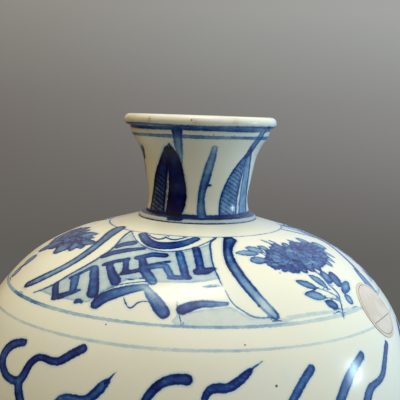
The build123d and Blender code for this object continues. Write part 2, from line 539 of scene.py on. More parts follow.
class Painting:
    """Cobalt on one piece, kept on its vertices.

    Broad strokes and washes are kept as how far a vertex lies inside the nearest one. Thin lines are kept as
    how far it lies to the left or right of the line's middle, so that they stay crisp between vertices.
    """

    def __init__(self, obj, line=outside, axis=0.0):
        self.obj = obj
        self.line = line
        self.axis = axis
        self.places = places_of(obj)
        normals = np.empty(len(self.places) * 3, np.float32)
        obj.data.vertices.foreach_get("normal", normals)
        self.normals = normals.reshape(-1, 3).astype(float)
        radii = np.hypot(self.places[:, 0] - axis, self.places[:, 1])
        self.outer = radii > radius_at(line, self.places[:, 2]) - outer_depth
        nothing = {"ink_edge": -far_off, "wash_edge": -far_off, "line_side": far_off, "line_away": far_off}
        nothing.update(dict.fromkeys(("ink_load", "wash_load", "line_half", "line_load"), 0.0))
        self.values = {name: np.full(len(self.places), value) for name, value in nothing.items()}

    def measured(self, stroke):
        """For the vertices near a stroke: their numbers, depth inside it, side, load and half width there."""
        p, halves, loads = stroke.places, stroke.halves, stroke.loads
        margin = reach + halves.max()
        near = np.all((self.places > p.min(0) - margin) & (self.places < p.max(0) + margin), axis=1)
        rows = np.nonzero(near)[0]
        deep = np.full(len(rows), -far_off)
        side = np.full(len(rows), far_off)
        load = np.zeros(len(rows))
        half = np.zeros(len(rows))
        spots = self.places[rows]
        normals = self.normals[rows]
        for i in range(max(1, len(p) - 1)):
            j = min(i + 1, len(p) - 1)
            way = p[j] - p[i]
            length = float(way @ way)
            offset = spots - p[i]
            t = np.clip(offset @ way / length, 0, 1) if length > 0 else np.zeros(len(spots))
            gap = offset - t[:, None] * way
            away = np.sqrt(np.einsum("ij,ij->i", gap, gap))
            here = halves[i] + (halves[j] - halves[i]) * t
            better = here - away > deep
            deep[better] = (here - away)[better]
            load[better] = (loads[i] + (loads[j] - loads[i]) * t)[better]
            half[better] = here[better]
            turn = np.cross(way, normals[better])
            side[better] = away[better] * np.where(np.einsum("ij,ij->i", turn, offset[better]) > 0, 1.0, -1.0)
        return rows, deep, side, load, half

    def lay(self, layer, rows, deep, load):
        """Keeps depth and load where a place lies deeper than in what was painted so far."""
        edge = self.values[layer + "_edge"]
        better = deep > edge[rows]
        edge[rows[better]] = deep[better]
        self.values[layer + "_load"][rows[better]] = load[better]

    def brush(self, stroke, layer="ink"):
        rows, deep, _, load, _ = self.measured(stroke)
        self.lay(layer, rows, deep, load)

    def rule(self, rows, side, half, load, over=None):
        """Keeps a thin line where it is nearer than the lines so far, or over them."""
        better = abs(side) < self.values["line_away"][rows]
        if over is not None:
            better |= over
        rows = rows[better]
        self.values["line_side"][rows] = side[better]
        self.values["line_away"][rows] = abs(side[better])
        self.values["line_half"][rows] = half[better]
        self.values["line_load"][rows] = load[better]

    def thin(self, stroke):
        rows, _, side, load, half = self.measured(stroke)
        self.rule(rows, side, half, load)

    def spare(self, stroke):
        """Leaves the stroke's shape bare of what lies under it."""
        rows, deep, _, _, _ = self.measured(stroke)
        for layer in ("ink_edge", "wash_edge"):
            self.values[layer][rows] = np.minimum(self.values[layer][rows], -deep)

    def petal(self, stroke, outline, half_line):
        """A filled shape with a thin drawn outline, over whatever was drawn before."""
        rows, deep, _, load, _ = self.measured(stroke)
        ink = self.values["ink_edge"]
        ink[rows] = np.minimum(ink[rows], -deep)
        self.rule(rows, deep, np.full(len(rows), half_line), load * outline, over=deep > 0)
        edge = self.values["wash_edge"]
        inner = deep > np.minimum(edge[rows], 0.0)
        edge[rows[inner]] = np.maximum(deep, edge[rows])[inner]
        self.values["wash_load"][rows[inner]] = load[inner]

    def region(self, outline, load):
        """A filled area between places on the wall. Its sides are short enough to follow the wall."""
        p = outline.places
        rows, deep, _, _, _ = self.measured(Stroke(np.vstack([p, p[:1]])))
        x_of = p[:, 0] - self.axis
        middle = np.arctan2(x_of.mean(), -p[:, 1].mean())
        px = np.angle(np.exp(1j * (np.arctan2(x_of, -p[:, 1]) - middle)))
        py = p[:, 2]
        low, high = p.min(0) - area_margin, p.max(0) + area_margin
        near = np.all((self.places > low) & (self.places < high), axis=1)
        near[rows] = True
        near &= self.outer
        all_rows = np.nonzero(near)[0]
        away = np.full(len(self.places), far_off)
        away[rows] = np.minimum(-deep, far_off)
        spots = self.places[all_rows]
        x = np.angle(np.exp(1j * (np.arctan2(spots[:, 0] - self.axis, -spots[:, 1]) - middle)))
        y = spots[:, 2]
        inner = np.zeros(len(all_rows), bool)
        for i in range(len(p)):
            j = (i + 1) % len(p)
            crosses = (py[i] > y) != (py[j] > y)
            with np.errstate(divide="ignore", invalid="ignore"):
                at = px[i] + (y - py[i]) / (py[j] - py[i]) * (px[j] - px[i])
            inner ^= crosses & (x < at)
        deep = np.where(inner, away[all_rows], -away[all_rows])
        self.lay("wash", all_rows, deep, np.full(len(all_rows), load))

    def ring(self, height, half, load, wander, seed, fade=None, broad=False):
        """A line round the vase, turned on the wheel with a little wander in height, width and load."""
        rows = np.nonzero(self.outer)[0]
        line = self.line[np.argsort(self.line[:, 1])]
        run = run_of(line)
        turn = np.arctan2(self.places[rows, 0] - self.axis, -self.places[rows, 1])
        phases = np.random.default_rng(seed).uniform(0, math.tau, len(sway_rates))
        sway = sum(np.sin(turn * k + q) / k for k, q in zip(sway_rates, phases))
        heavy = sum(np.cos(turn * k + q * 2) / k**0.5 for k, q in zip(sway_rates, phases))
        heights = self.places[rows, 2]
        side = np.interp(heights, line[:, 1], run) - np.interp(height, line[:, 1], run) - wander * sway
        side += np.maximum(heights - line[-1, 1], 0.0)
        loads = np.maximum(load * (1 + ring_load_sway * heavy), 0.0)
        if fade is not None:
            loads = loads * np.interp(np.degrees(turn), *fade)
        halves = half * (1 + ring_width_sway * np.sin(turn * ring_width_swells + phases[0]))
        if broad:
            self.lay("ink", rows, halves - abs(side), loads)
        else:
            self.rule(rows, side, halves, loads)

    def done(self):
        for name, values in self.values.items():
            add_values(self.obj, name, values)


def add_values(obj, name, values):
    attribute = obj.data.attributes.new(name, "FLOAT", "POINT")
    attribute.data.foreach_set("value", np.asarray(values, np.float32))


# What the photograph shows on the shoulder: start load, end load, then (x, y, half width) in pixels
fret_bars_px = (
    (0.9, 1.4, ((55.8, 284.8, 3.1), (55.2, 291, 3.2), (55.2, 296.5, 3.2))),
    (1.3, 0.95, ((53.6, 297.4, 2.5), (60, 296.2, 2.7), (68, 293.6, 2.2), (79.5, 290.2, 1.1))),
    (0.62, 0.95, ((75, 277.6, 4.2), (74, 284, 4), (73, 289.6, 3.4))),
    (0.8, 0.85, ((70.5, 277.6, 1.2), (81.5, 272.6, 1.3), (92, 267.2, 1.5))),
    (0.75, 1.75, ((94.4, 268.2, 4.4), (94, 281, 4.9), (92.8, 292.6, 5.8))),
    (0.95, 1.45, ((109.4, 265.5, 3.7), (112, 274, 4.6), (115.6, 281.2, 5.8))),
    (1, 1.1, ((104.5, 264.4, 1.5), (115, 261.5, 1.6), (128, 259.2, 1.6))),
    (0.9, 1.1, ((126, 261.4, 3), (125.4, 271.6, 3.1))),
    (1.15, 1.2, ((122.4, 273.2, 1.8), (135.2, 271, 2), (144.1, 268.8, 2))),
    (1, 1.45, ((137.4, 257.7, 1.9), (153.1, 254.4, 2.2), (164.8, 255.4, 2.2))),
    (0.85, 1.1, ((142.3, 259.5, 3.8), (143.8, 268, 4.3))),
    (1, 0.55, ((143.2, 269, 4.4), (148, 275.5, 5), (152.8, 281.5, 4.6))),
    (0.9, 0.7, ((144.5, 267.6, 2.8), (155, 265.8, 2.8), (163.5, 265.6, 2.6))),
    (1.25, 1.25, ((146.5, 265.4, 0.9), (158, 263, 0.9), (169.6, 261.4, 0.9))),
    (0.66, 0.6, ((165.6, 266.2, 3.6), (168.2, 271, 3.6), (170.8, 275.6, 3.2))),
    (0.75, 0.95, ((170, 277.4, 2.2), (179.6, 277.6, 2.3), (189.4, 277.8, 1.8))),
    (0.8, 0.85, ((179.2, 252.5, 3.9), (182.4, 264, 4.3), (185.3, 275.5, 4))),
    (1.2, 1.2, ((196, 248.5, 3.9), (198.5, 258, 4.2), (200.5, 268.5, 4))),
    (1.3, 1.4, ((198, 271.5, 3.4), (206, 271, 3.2), (214, 268.6, 1.8))),
    (1.15, 0.95, ((117.3, 246.4, 1.6), (125, 244, 2), (132.7, 242.9, 2.1))),
    (1.25, 0.95, ((103.3, 256.2, 1.8), (113, 252.7, 2.1), (126, 250.2, 2), (144.1, 248.4, 1.2))),
    (0.7, 0.6, ((125, 279.6, 0.6), (145.4, 278.4, 0.6))),
)
cloud_strokes_px = (
    (1.75, 0.38, ((96, 303.6, 4.5), (102, 298.6, 5.1), (112.4, 294.2, 5.2), (127.6, 289.8, 4.4),
                  (144.5, 286.8, 3.2))),
    # This stroke starts almost bare of cobalt where the glare lies over it: a painted highlight.
    (0.25, 1.45, ((146.5, 289, 3.6), (151, 295, 5.2), (157, 303.5, 6.4), (161.5, 310, 6.9),
                  (163.4, 312.6, 6.6))),
    # This stroke's load falls away to the right, where the glare lies over it: a painted highlight.
    (1.45, 0.35, ((182, 309.6, 5), (188, 307.4, 4.9), (200, 304.2, 3.8), (213, 304, 3.2), (227, 303.6, 2))),
    (0.95, 0.95, ((74, 302.8, 0.9), (79, 300.8, 2.5), (81.5, 302.5, 1.6))),
    (0.6, 0.35, ((203, 287.5, 0.8), (212, 286, 1.4), (221.5, 285.5, 0.6))),
)
panel_lines_px = (
    (0.55, 0.8, ((34.4, 292.4, 0.6), (51, 285.8, 0.7), (67.6, 275.8, 0.7), (82.9, 267.3, 0.7),
                 (102, 255.8, 0.7), (114.8, 246.2, 0.8), (123.7, 236.4, 0.8), (131.2, 230.9, 0.8))),
    (0.95, 0.6, ((215.6, 238.2, 0.9), (210.4, 243, 1), (210.6, 251, 1), (212, 261, 0.8), (215.5, 271, 0.8),
                 (221.7, 284.5, 0.6))),
    (0.3, 0.5, ((225.5, 290.9, 0.5), (233.2, 303.6, 0.6), (243.4, 311.3, 0.8), (254.8, 317.2, 1),
                (271.4, 317, 0.8))),
    (0.6, 0.6, ((131.4, 231, 0.6), (135.2, 238.6, 0.5), (145.4, 246.9, 0.6), (159.4, 251, 0.6),
                (178.6, 251, 0.6), (198, 246.4, 0.5), (214.5, 238.4, 0.5))),
    (0.75, 0.7, ((123.7, 298.5, 0.5), (130.1, 308.2, 0.7), (137, 303.2, 0.6), (146.7, 301.3, 0.5))),
    (0.55, 0.45, ((176.7, 303.6, 0.5), (178.5, 312, 0.6), (181.1, 322.8, 0.5))),
    (0.75, 0.75, ((149, 235, 0.5), (154.5, 238.2, 0.6), (162, 238.9, 0.6), (167.1, 236.9, 0.5))),
    (0.75, 0.75, ((165.8, 237.3, 0.5), (171.5, 239.5, 0.6), (181.1, 238.6, 0.6), (187.5, 236.9, 0.5))),
    (0.45, 0.6, ((94, 300, 0.5), (103, 291.5, 0.5), (113.5, 286.5, 0.6), (126, 283.5, 0.5),
                 (146, 281.5, 0.5))),
)
stems_px = (
    (0.55, 0.45, ((343.6, 316.4, 0.5), (341, 303, 0.7), (337.8, 293.4, 0.7), (330, 285.8, 0.6),
                  (322, 277, 0.6), (314.5, 271.2, 0.5))),
    (0.45, 0.4, ((340, 299.5, 0.5), (330, 292.5, 0.5), (317, 288.2, 0.4))),
    (0.45, 0.4, ((340.6, 301.5, 0.5), (332, 298.4, 0.5), (325, 297.6, 0.4))),
    (0.4, 0.35, ((269, 258.2, 0.4), (262, 253.5, 0.4), (254, 250, 0.3))),
    (0.4, 0.35, ((312, 248, 0.5), (309.5, 246.5, 0.4), (306, 243.5, 0.3))),
)
next_rib_px = (0.6, 0.9, ((282.6, 229.4, 0.5), (300, 233.4, 0.6), (314.8, 237.6, 0.6), (327.6, 243.8, 0.7),
                          (340.3, 253.6, 0.8), (353, 265.6, 0.9), (364.5, 278.4, 0.9), (374, 289.6, 0.8)))

# Strokes whose load is given at each point: (x, y, half width, load)
rib_strokes_px = (
    ((27, 284.5, 1.7, 1), (31.6, 282.7, 2, 0.75), (38.3, 279.6, 2.2, 0.62), (53.6, 272.3, 2.1, 0.52),
     (71.4, 262.8, 2.1, 0.58), (89.3, 251, 2.3, 0.75), (104.6, 238.8, 2.6, 0.85), (113, 232.2, 2.9, 0.95),
     (118.2, 228.8, 2.8, 0.95)),
    # The second rib's load drops near its foot, where the softbox's glare pales it: a painted highlight.
    ((230, 240, 5.4, 1.3), (227.8, 248.8, 3.6, 1.15), (230.2, 260.3, 3.9, 1), (237.6, 273, 4.1, 0.8),
     (247.8, 286.4, 4.2, 0.55), (258.8, 299, 4, 0.34), (269.2, 310, 3.8, 0.22), (274.8, 315.4, 3.2, 0.45)),
)
boss_stroke_px = (
    (143, 234.2, 4.6, 1.25), (146, 239.5, 4.4, 1.55), (154.5, 244.4, 3.7, 1.8), (167, 245.6, 3.5, 1.75),
    (183.7, 243.2, 3.2, 1.5), (195.6, 238.9, 2.6, 1.25),
)
next_rib_foot_px = ((356.5, 270.5, 1, 0.6), (363.5, 278.5, 2.1, 0.8), (371.5, 288, 2.3, 0.6))

# Washes: load, then the corners
wash_step_px = 2.0
washes_px = (
    (0.19, ((38, 290), (55, 283.5), (70, 275), (83, 267.8), (102, 256.5), (115, 247), (124.5, 237.5),
            (131.2, 233), (135, 240.5), (145, 248.5), (159.4, 252.4), (178.6, 252.4), (200, 247.5),
            (211, 243), (211, 253), (212, 262), (216, 272), (219, 279), (205, 281.5), (190, 283),
            (172, 282.5), (158, 282.5), (144, 279), (128, 280), (115, 285), (105, 289.5), (95, 297),
            (88, 302.5), (72, 300.5), (52, 296))),
    (0.1, ((170, 322.6), (177, 315), (178, 308), (190, 312), (204, 309.5), (220, 308), (231, 306.5),
           (240, 312), (252, 318), (268, 318.5), (284, 318), (292, 320), (284, 324.5), (262, 326.5),
           (240, 327.5), (215, 328), (184, 327.2))),
    (0.08, ((286, 316), (310, 312.5), (335, 309.5), (357, 306), (359, 309), (338, 312.5), (312, 316),
            (288, 320))),
)

# Leaves: load, then (x, y, half width) along the middle. The spray on the right comes last
leaves_px = (
    (0.44, ((236.5, 253.3, 0.6), (247, 253, 2.6), (257.5, 253.6, 0.6))),
    (0.44, ((246.6, 248, 0.5), (254, 249.2, 2.4), (263, 252.2, 0.5))),
    (0.44, ((258.5, 246.6, 0.4), (263.5, 248, 1.7), (269, 251.5, 0.4))),
    (0.5, ((254.5, 260.4, 2.6), (258.4, 260.2, 3.8), (262.4, 259.8, 2.4))),
    (0.6, ((269, 264.4, 1.4), (273, 264.6, 2.9), (279, 264.2, 2.4))),
    (0.34, ((269, 240.4, 0.2), (274, 242.6, 0.7), (279, 245.6, 0.3))),
    (0.34, ((261, 240, 0.2), (266, 241.8, 0.5), (271, 244, 0.2))),
    (0.34, ((288, 240.2, 0.3), (294, 242.2, 0.9), (301, 245.2, 0.3))),
    (0.58, ((297.6, 239, 0.5), (303.5, 241.2, 2), (309, 245.4, 0.5))),
    (0.55, ((311.5, 245.4, 0.7), (317.5, 245.2, 2.4), (324, 247.4, 0.5))),
    (0.4, ((317.5, 249.2, 0.4), (325, 252.4, 1.2), (334, 257.2, 0.4))),
    (0.42, ((318.6, 253.9, 0.5), (326, 257, 1.5), (333.6, 262, 0.4))),
    (0.62, ((321.2, 259, 0.6), (326.5, 262, 1.7), (331.2, 266, 0.5))),
    (0.62, ((296.6, 281.3, 0.5), (306.8, 284.4, 2.9), (317, 288.2, 0.5))),
    (0.62, ((309.4, 275.4, 0.4), (318.4, 280.6, 2.5), (327, 287.6, 0.5))),
    (0.8, ((322.2, 271.8, 0.7), (326.2, 276.8, 2.9), (330.4, 283, 0.6))),
    (0.92, ((332, 274.2, 1.8), (335.2, 279.2, 3.5), (338.2, 285.6, 0.8))),
    (0.52, ((305.2, 294.4, 0.7), (315.2, 295.4, 4), (325, 297.6, 0.7))),
    (0.88, ((328.2, 303.2, 2.2), (332.2, 304.4, 3.6), (336, 305.8, 1.9))),
    (0.66, ((347.4, 282.6, 1.8), (345.8, 287, 4.6), (343.4, 291.8, 1.8))),
    (0.5, ((347.8, 297.2, 1.5), (349, 299.2, 2.7), (350, 300.8, 0.7))),
)
left_leaves_px = (
    (0.8, ((82, 241.2, 0.8), (88, 242.2, 2.6), (95.6, 243.6, 0.5))),
    (0.85, ((75.8, 242.6, 1.6), (74, 246, 3.2), (71.6, 249.4, 1.6))),
    (0.85, ((66.5, 244.6, 1.8), (62.8, 247.6, 3), (58.6, 250.6, 1.6))),
    (0.8, ((81, 235.6, 0.8), (88, 234.8, 1.9), (97, 234.2, 0.4))),
    (0.95, ((41, 249.8, 0.8), (48, 246.6, 2.6), (58, 242.8, 1.6))),
    (0.72, ((26.6, 262.6, 0.9), (29.8, 259.9, 2.4), (33.4, 257.8, 0.8))),
    (0.66, ((14.6, 273.4, 0.8), (16.8, 271.4, 2.2), (19.6, 269.8, 0.8))),
)

# The flower: rows of (distance from the middle, count, half length, half width), then one petal's own shape
flower_seed = 11
flower_middle_px = (296.5, 257)
flower_half_px = (29.5, 14.6)
flower_rows_shares = (
    (0.84, 25, 0.32, 0.098), (0.6, 17, 0.26, 0.115), (0.38, 11, 0.2, 0.125), (0.18, 6, 0.14, 0.12),
)
petal_shares = ((-0.6, 0.6), (-0.21, 1), (0.21, 1.05), (0.6, 0.55))
petal_turn = 0.07
petal_reach = (0.94, 1.07)
petal_fill = (0.85, 1.2)
petal_tip_load = 0.9
petal_slim = 0.72
outer_row_share = 0.8
lowest_petals = 0.3
flower_mass_px = ((-15, 1), (0, 0), (14, 2))
flower_mass_halves = (5.2, 5.8, 5.2)
flower_mass_load = 1.05

# The panels' turns, and outlines as (load, half width)
right_panel = 125
left_panel = 238
rib_outline = (1.6, 0.42)
next_rib_outline = (1.4, 0.3)
leaf_outline = (1.65, 0.13)
left_leaf_outline = (1.7, 0.15)
petal_outline = (1.3, 0.12)
lotus_outline = (2.0, 0.22)

# Rings: height, half width, load, wander and seed, then how the load changes with the turn
upper_fade = ((-180, -64, -57, -46, -40, 18, 30, 180), (1, 1.3, 2.6, 2.4, 0.9, 1.1, 0.35, 0.9))
lower_fade = ((-180, 10, 30, 70, 180), (1, 1, 0.55, 0.55, 1))
shoulder_rings = (
    ((257.1, 0.26, 0.3, 0.08, 3), None),
    ((235.7, 0.55, 0.22, 0.12, 5), upper_fade),
    ((229.5, 0.46, 0.11, 0.12, 8), lower_fade),
)
rim_fade = ((-180, -70, -40, 0, 60, 180), (0.8, 0.85, 0.95, 1, 1, 0.8))
lip_fade = ((-180, -60, 0, 60, 180), (0.8, 0.9, 1, 1.1, 0.8))
neck_rings = (
    # The broad band under the rim roll is a cobalt line, and its heavy load is partly painted shade under the
    # lip.
    ((rim_bottom + 0.1, 1.02, 0.8, 0.06, 21), rim_fade, True),
    ((292.2, 0.68, 0.42, 0.08, 22), lip_fade, False),
    ((bead_top + 0.3, 0.8, 1.3, 0.05, 23), None, True),
)
bead_rings = (
    ((bead_top - 0.25, 0.8, 1.2, 0.04, 24), True),
    ((seat_height + 0.1, 0.3, 0.7, 0.03, 25), False),
)
joint_rings = ((102.5, 0.6, 0.55, 0.15, 31), (99, 0.4, 0.4, 0.15, 32))
foot_rings = (
    (34, 0.45, 0.45, 0.12, 33), (30.5, 0.6, 0.6, 0.12, 34),
    (9, 0.5, 0.55, 0.12, 35), (6.2, 0.32, 0.4, 0.12, 36),
)

# On the body
body_scroll_px = (
    (1.45, 1.3, ((24.6, 342.4, 3.6), (15, 343.8, 4.1), (7.8, 348.6, 3.9), (3.2, 356.4, 3.3),
                 (3.2, 368, 3.3), (8.6, 377.6, 3.9), (17.6, 380.6, 4.2), (25.6, 371.4, 3.6),
                 (32, 361.6, 3.3), (39.6, 357.4, 3.4), (48, 359.6, 3.6), (56, 361.6, 3.9), (66, 357.6, 4),
                 (77, 351.4, 4.2), (83.4, 348.6, 4.2))),
    (1.2, 1.3, ((18.6, 381, 3.6), (18.4, 391, 4), (20.4, 402, 4), (26, 418, 3.6), (37, 436, 3))),
    (1.25, 1, ((46, 424, 2.2), (55, 405.4, 3.4), (63, 398.6, 4.2), (72, 399, 4.7), (84, 400.6, 5),
               (94, 394.6, 4.8), (102.6, 386, 4.4), (107.8, 381, 2.6))),
    (1.25, 1.75, ((128, 438, 2.8), (137, 417, 3.6), (146, 399.4, 4.2), (156.6, 386.8, 4.6), (169, 380.4, 5),
                  (180, 379.2, 5.3), (187.2, 379.8, 5.6))),
    (1.15, 1.1, ((186, 436, 2.4), (196, 419, 3), (203.6, 402, 3), (208.4, 391.8, 3.9), (216, 388.2, 4.7),
                 (226, 388.2, 4.8), (237, 382.8, 4.5), (246.6, 374.4, 3.8), (251.4, 369.8, 2.2))),
    (0.85, 0.85, ((268, 440, 2.8), (281, 420, 3.6), (293.2, 400, 4.2), (301.6, 384.4, 4.3), (308, 374, 4.4),
                  (311.2, 369, 4.4))),
    (0.95, 1.15, ((322, 440, 2.6), (333, 418, 3.8), (341, 399, 4.5), (349.5, 377, 4.6), (356, 364.6, 4),
                  (361.6, 355.4, 3.8))),
    (1, 1.1, ((352, 432, 2.4), (361, 413, 3.2), (367.3, 400, 3.8), (371.6, 387.6, 3.8), (379.6, 380, 3),
              (384.6, 362, 2.1), (386.6, 344, 1.9))),
)
body_tails_px = (
    (1, 0.6, ((106, 382.6, 1.9), (110.4, 377.8, 1), (114.6, 373.2, 0.5))),
    (0.9, 0.55, ((250.6, 370.6, 1.7), (255.6, 366.2, 0.9), (261.6, 361.9, 0.4))),
)

# On the neck: fills as washes are given, strokes with a load at each point, and lines
neck_fill_step_px = 1.6
neck_fills_px = (
    (0.9, ((168, 144.8), (165.1, 146.5), (161.1, 157.4), (158.2, 165.5), (155.9, 173.5), (154.2, 187.2),
           (152.6, 198), (150.6, 208.6), (151, 212.5), (158, 213.4), (164, 212), (165.2, 200),
           (166.3, 187.2), (167.3, 173.5), (167.6, 158))),
    (2.9, ((169.1, 143.6), (174, 149.5), (178.9, 157.4), (181.6, 165), (183.5, 173.5), (185.8, 187.2),
           (186.3, 197.6), (184.6, 206.8), (181.6, 213.6), (178.9, 219.4), (172, 220.6), (166.2, 220),
           (165.9, 210.2), (168, 198), (169.1, 187.2), (168.9, 173.5), (168.6, 158))),
    (0.68, ((250.6, 149.4), (245, 155.8), (239.7, 162), (235, 168), (230.5, 174.6), (226.6, 182),
            (223.1, 189.5), (219.6, 201), (219.1, 217), (234, 217.6), (234.6, 208), (235.8, 199.9),
            (238.4, 186.1), (241.6, 171.2), (245.3, 157.4))),
    (0.7, ((251.8, 149.4), (250.4, 161), (248.9, 173.5), (246.6, 191.8), (245.8, 215), (238.4, 216),
           (238.6, 204), (240.2, 191.8), (242.8, 174.6), (246.6, 157.4))),
)
neck_strokes_px = (
    ((176.4, 128.8, 5.2, 1.15), (177, 132, 5, 1.25), (177.4, 137, 4.6, 0.8), (178, 143, 4.2, 0.52),
     (179.6, 152, 3.2, 0.36), (181.2, 163, 1.6, 0.25)),
    ((214.8, 148.4, 3, 0.36), (213, 155, 3.5, 0.55), (208.7, 168.9, 4.3, 0.8), (205.3, 180.4, 4.3, 0.95),
     (202.2, 191.8, 3.6, 0.8), (200.9, 201, 3.6, 0.62), (201, 209, 4.2, 0.75), (201.6, 217, 4.8, 0.85)),
    ((205, 185.6, 1.8, 1.05), (210.6, 185.4, 0.8, 1.05)),
    ((167.4, 148, 1.2, 1), (164.4, 160, 3.4, 1.1), (161.8, 174, 5, 0.95), (160.2, 184, 5.2, 0.4),
     (159.6, 190, 4.6, 0.05)),
    ((264.4, 129.6, 2, 1), (260.4, 137, 2.2, 0.9), (255.6, 143.6, 2.3, 0.92), (250.6, 150.6, 2.2, 0.9),
     (245.5, 157.6, 1, 0.85)),
)
neck_lines_px = (
    (0.95, 1.1, ((246.2, 157, 0.6), (242.6, 171.2, 0.6), (239.2, 186.1, 0.7), (236.6, 199.9, 0.7),
                 (235.4, 216, 0.8))),
    (1, 0.85, ((219.3, 217, 0.6), (219.9, 201, 0.6), (223.4, 189.5, 0.6), (230.8, 174.6, 0.6),
               (240, 162, 0.6), (250.6, 149.8, 0.6))),
    (0.95, 0.85, ((251.6, 149.8, 0.5), (248.8, 173.5, 0.6), (246.5, 191.8, 0.6), (245.8, 215, 0.6))),
    (1.9, 1.8, ((165.4, 147, 0.8), (161.3, 157.4, 0.7), (156.1, 173.5, 0.7), (154.4, 187.2, 0.7),
                (152.8, 198, 0.7), (150.8, 208.6, 0.7))),
    (1.8, 2, ((167.8, 147, 1), (167.9, 158, 1.3), (167, 170, 1.1), (165.4, 187.2, 0.9), (163.6, 210, 0.9))),
)
neck_midribs_px = (
    (0.34, 0.34, ((168.4, 166, 0.2), (167.9, 176, 0.4), (167, 190, 0.6), (165, 213, 0.7))),
    (0.12, 0.12, ((243.4, 166, 0.2), (240.8, 180, 0.3), (238.4, 196, 0.4), (236.8, 215, 0.7))),
)
neck_edge_px = ((142.6, 147, 0.9, 1), (144, 155, 1.4, 1.1), (145.2, 163, 0.8, 0.7))

# Veins of the neck's leaves: count, first foot, step, the vein from its foot, start load and end load
neck_veins_px = (
    (9, (166.65, 180), (-0.33, 4.4), ((0, 0, 0.45), (-6, -5, 0.55), (-12.4, -10.5, 0.45)), 2.3, 2.3),
    (16, (243.08, 166), (-0.64, 4), ((0, 0, 0.45), (-7, -5.2, 0.45), (-17, -12, 0.35)), 0.95, 0.8),
)
vein_margin = 0.05

# The dark leaf's foot on the bead, and brown stains on the rim: (x, y, size)
leaf_foot_azimuths = (-27, -21, -17)
leaf_foot_drop = 0.5
leaf_foot_half = 1.25
leaf_foot_load = 1.7
rim_stains_px = ((131, 118, 5), (139, 121, 3.5), (147, 119.5, 2), (196, 122, 1.6), (236, 122, 1.4))

# Below the picture: the lotus scroll and the border of lappets
vine_height = 153.0
vine_swing = 15.0
vine_waves = 3
vine_radius = 80.0
vine_half = 0.95
vine_swell = 0.25
vine_swells = 7
vine_leaves = ((-24, 15, 50), (-16, 12, 80), (-6, 11, -70), (8, 13, 60), (17, 15, 35), (25, 12, -60))
vine_leaf_shares = ((0, 0.5), (0.25, 1.5), (0.5, 2.1), (0.72, 1.9), (0.9, 1.1), (1, 0.4))
vine_leaf_lean = (0.4, 1.7)
vine_leaf_loads = (1.25, 0.7)
vine_partner = (4, 0.8, 0.7)
vine_every = 3
vine_step = 2.5
crest_turn = 30
lotus_size = 15.5
lotus_rows = ((1, 0.19, 112, 9), (0.74, 0.17, 84, 7), (0.48, 0.15, 52, 5))
lotus_petal_shares = ((0.16, 0.45, 0), (0.55, 1, 0), (0.84, 0.72, 0.1), (1, 0.12, 0.24))
lotus_petal_loads = (0.75, 0.42)
lotus_rise = 4.0
lotus_sink_share = 0.3
seed_head_shares = ((-0.12, 0.04, 0.1), (0.12, 0.04, 0.1))
seed_head_load = 0.3
stalk_halves = (0.7, 0.6)
stalk_loads = (0.9, 0.8)
lappet_count = 16
lappet_low = 37.5
lappet_high = 93.0
lappet_shares = (
    (-0.46, 0), (-0.45, 0.45), (-0.38, 0.72), (-0.2, 0.9), (0, 1),
    (0.2, 0.9), (0.38, 0.72), (0.45, 0.45), (0.46, 0),
)
lappet_drop = ((0, 4, 2.2), (0, 16, 3.2), (0.5, 28, 1.9), (0, 36, 0.3))
lappet_dash = ((0.24, 3, 0.9), (0.22, 16, 1.1), (0.12, 27, 0.4))
lappet_drop_loads = (1.1, 0.45)
lappet_dash_loads = (0.7, 0.5)

# Outlines of a lappet: scale, half width and load, then how much of the scale goes into the height
lappet_outlines = ((1.0, 0.42, 1.0), (0.74, 0.28, 0.7))
lappet_height_share = 0.45


def loaded(points_px, target):
    """A stroke whose load of cobalt is given at each point."""
    return traced(points_px, 0, 0, target)


def traced_rows(rows, target, bend=True):
    """Strokes from rows of start load, end load and points."""
    return [traced(points, start, end, target, bend) for start, end, points in rows]


def traced_leaves(rows):
    """Leaves from rows of load and points."""
    return [traced(points, load, load, wall_target) for load, points in rows]


def traced_areas(rows, target, step):
    """Areas from rows of load and corners."""
    return [(load, traced_area(corners, target, step)) for load, corners in rows]


def flower_petals():
    """The chrysanthemum as the photograph shows it: rows of petals round its middle, the outer rows first."""
    rng = np.random.default_rng(flower_seed)
    cx, cy = flower_middle_px
    wide, high = flower_half_px
    petals = []
    for share, count, length, width in flower_rows_shares:
        outer_row = share > outer_row_share
        for i in range(count):
            angle = math.tau * (i + 0.5 * (not outer_row)) / count + rng.uniform(-petal_turn, petal_turn)
            far = share * rng.uniform(*petal_reach)
            slim = between(1.0, petal_slim, abs(math.cos(angle)))
            points = []
            for step, half in petal_shares:
                out = far + step * length
                x = cx + wide * out * math.cos(angle)
                y = cy + high * out * math.sin(angle)
                points.append((x, y, width * wide * half * slim))
            fill = rng.uniform(*petal_fill)
            lowest = outer_row and math.sin(angle) > lowest_petals
            petals.append((traced(points, fill, fill * petal_tip_load, wall_target), lowest))
    return petals


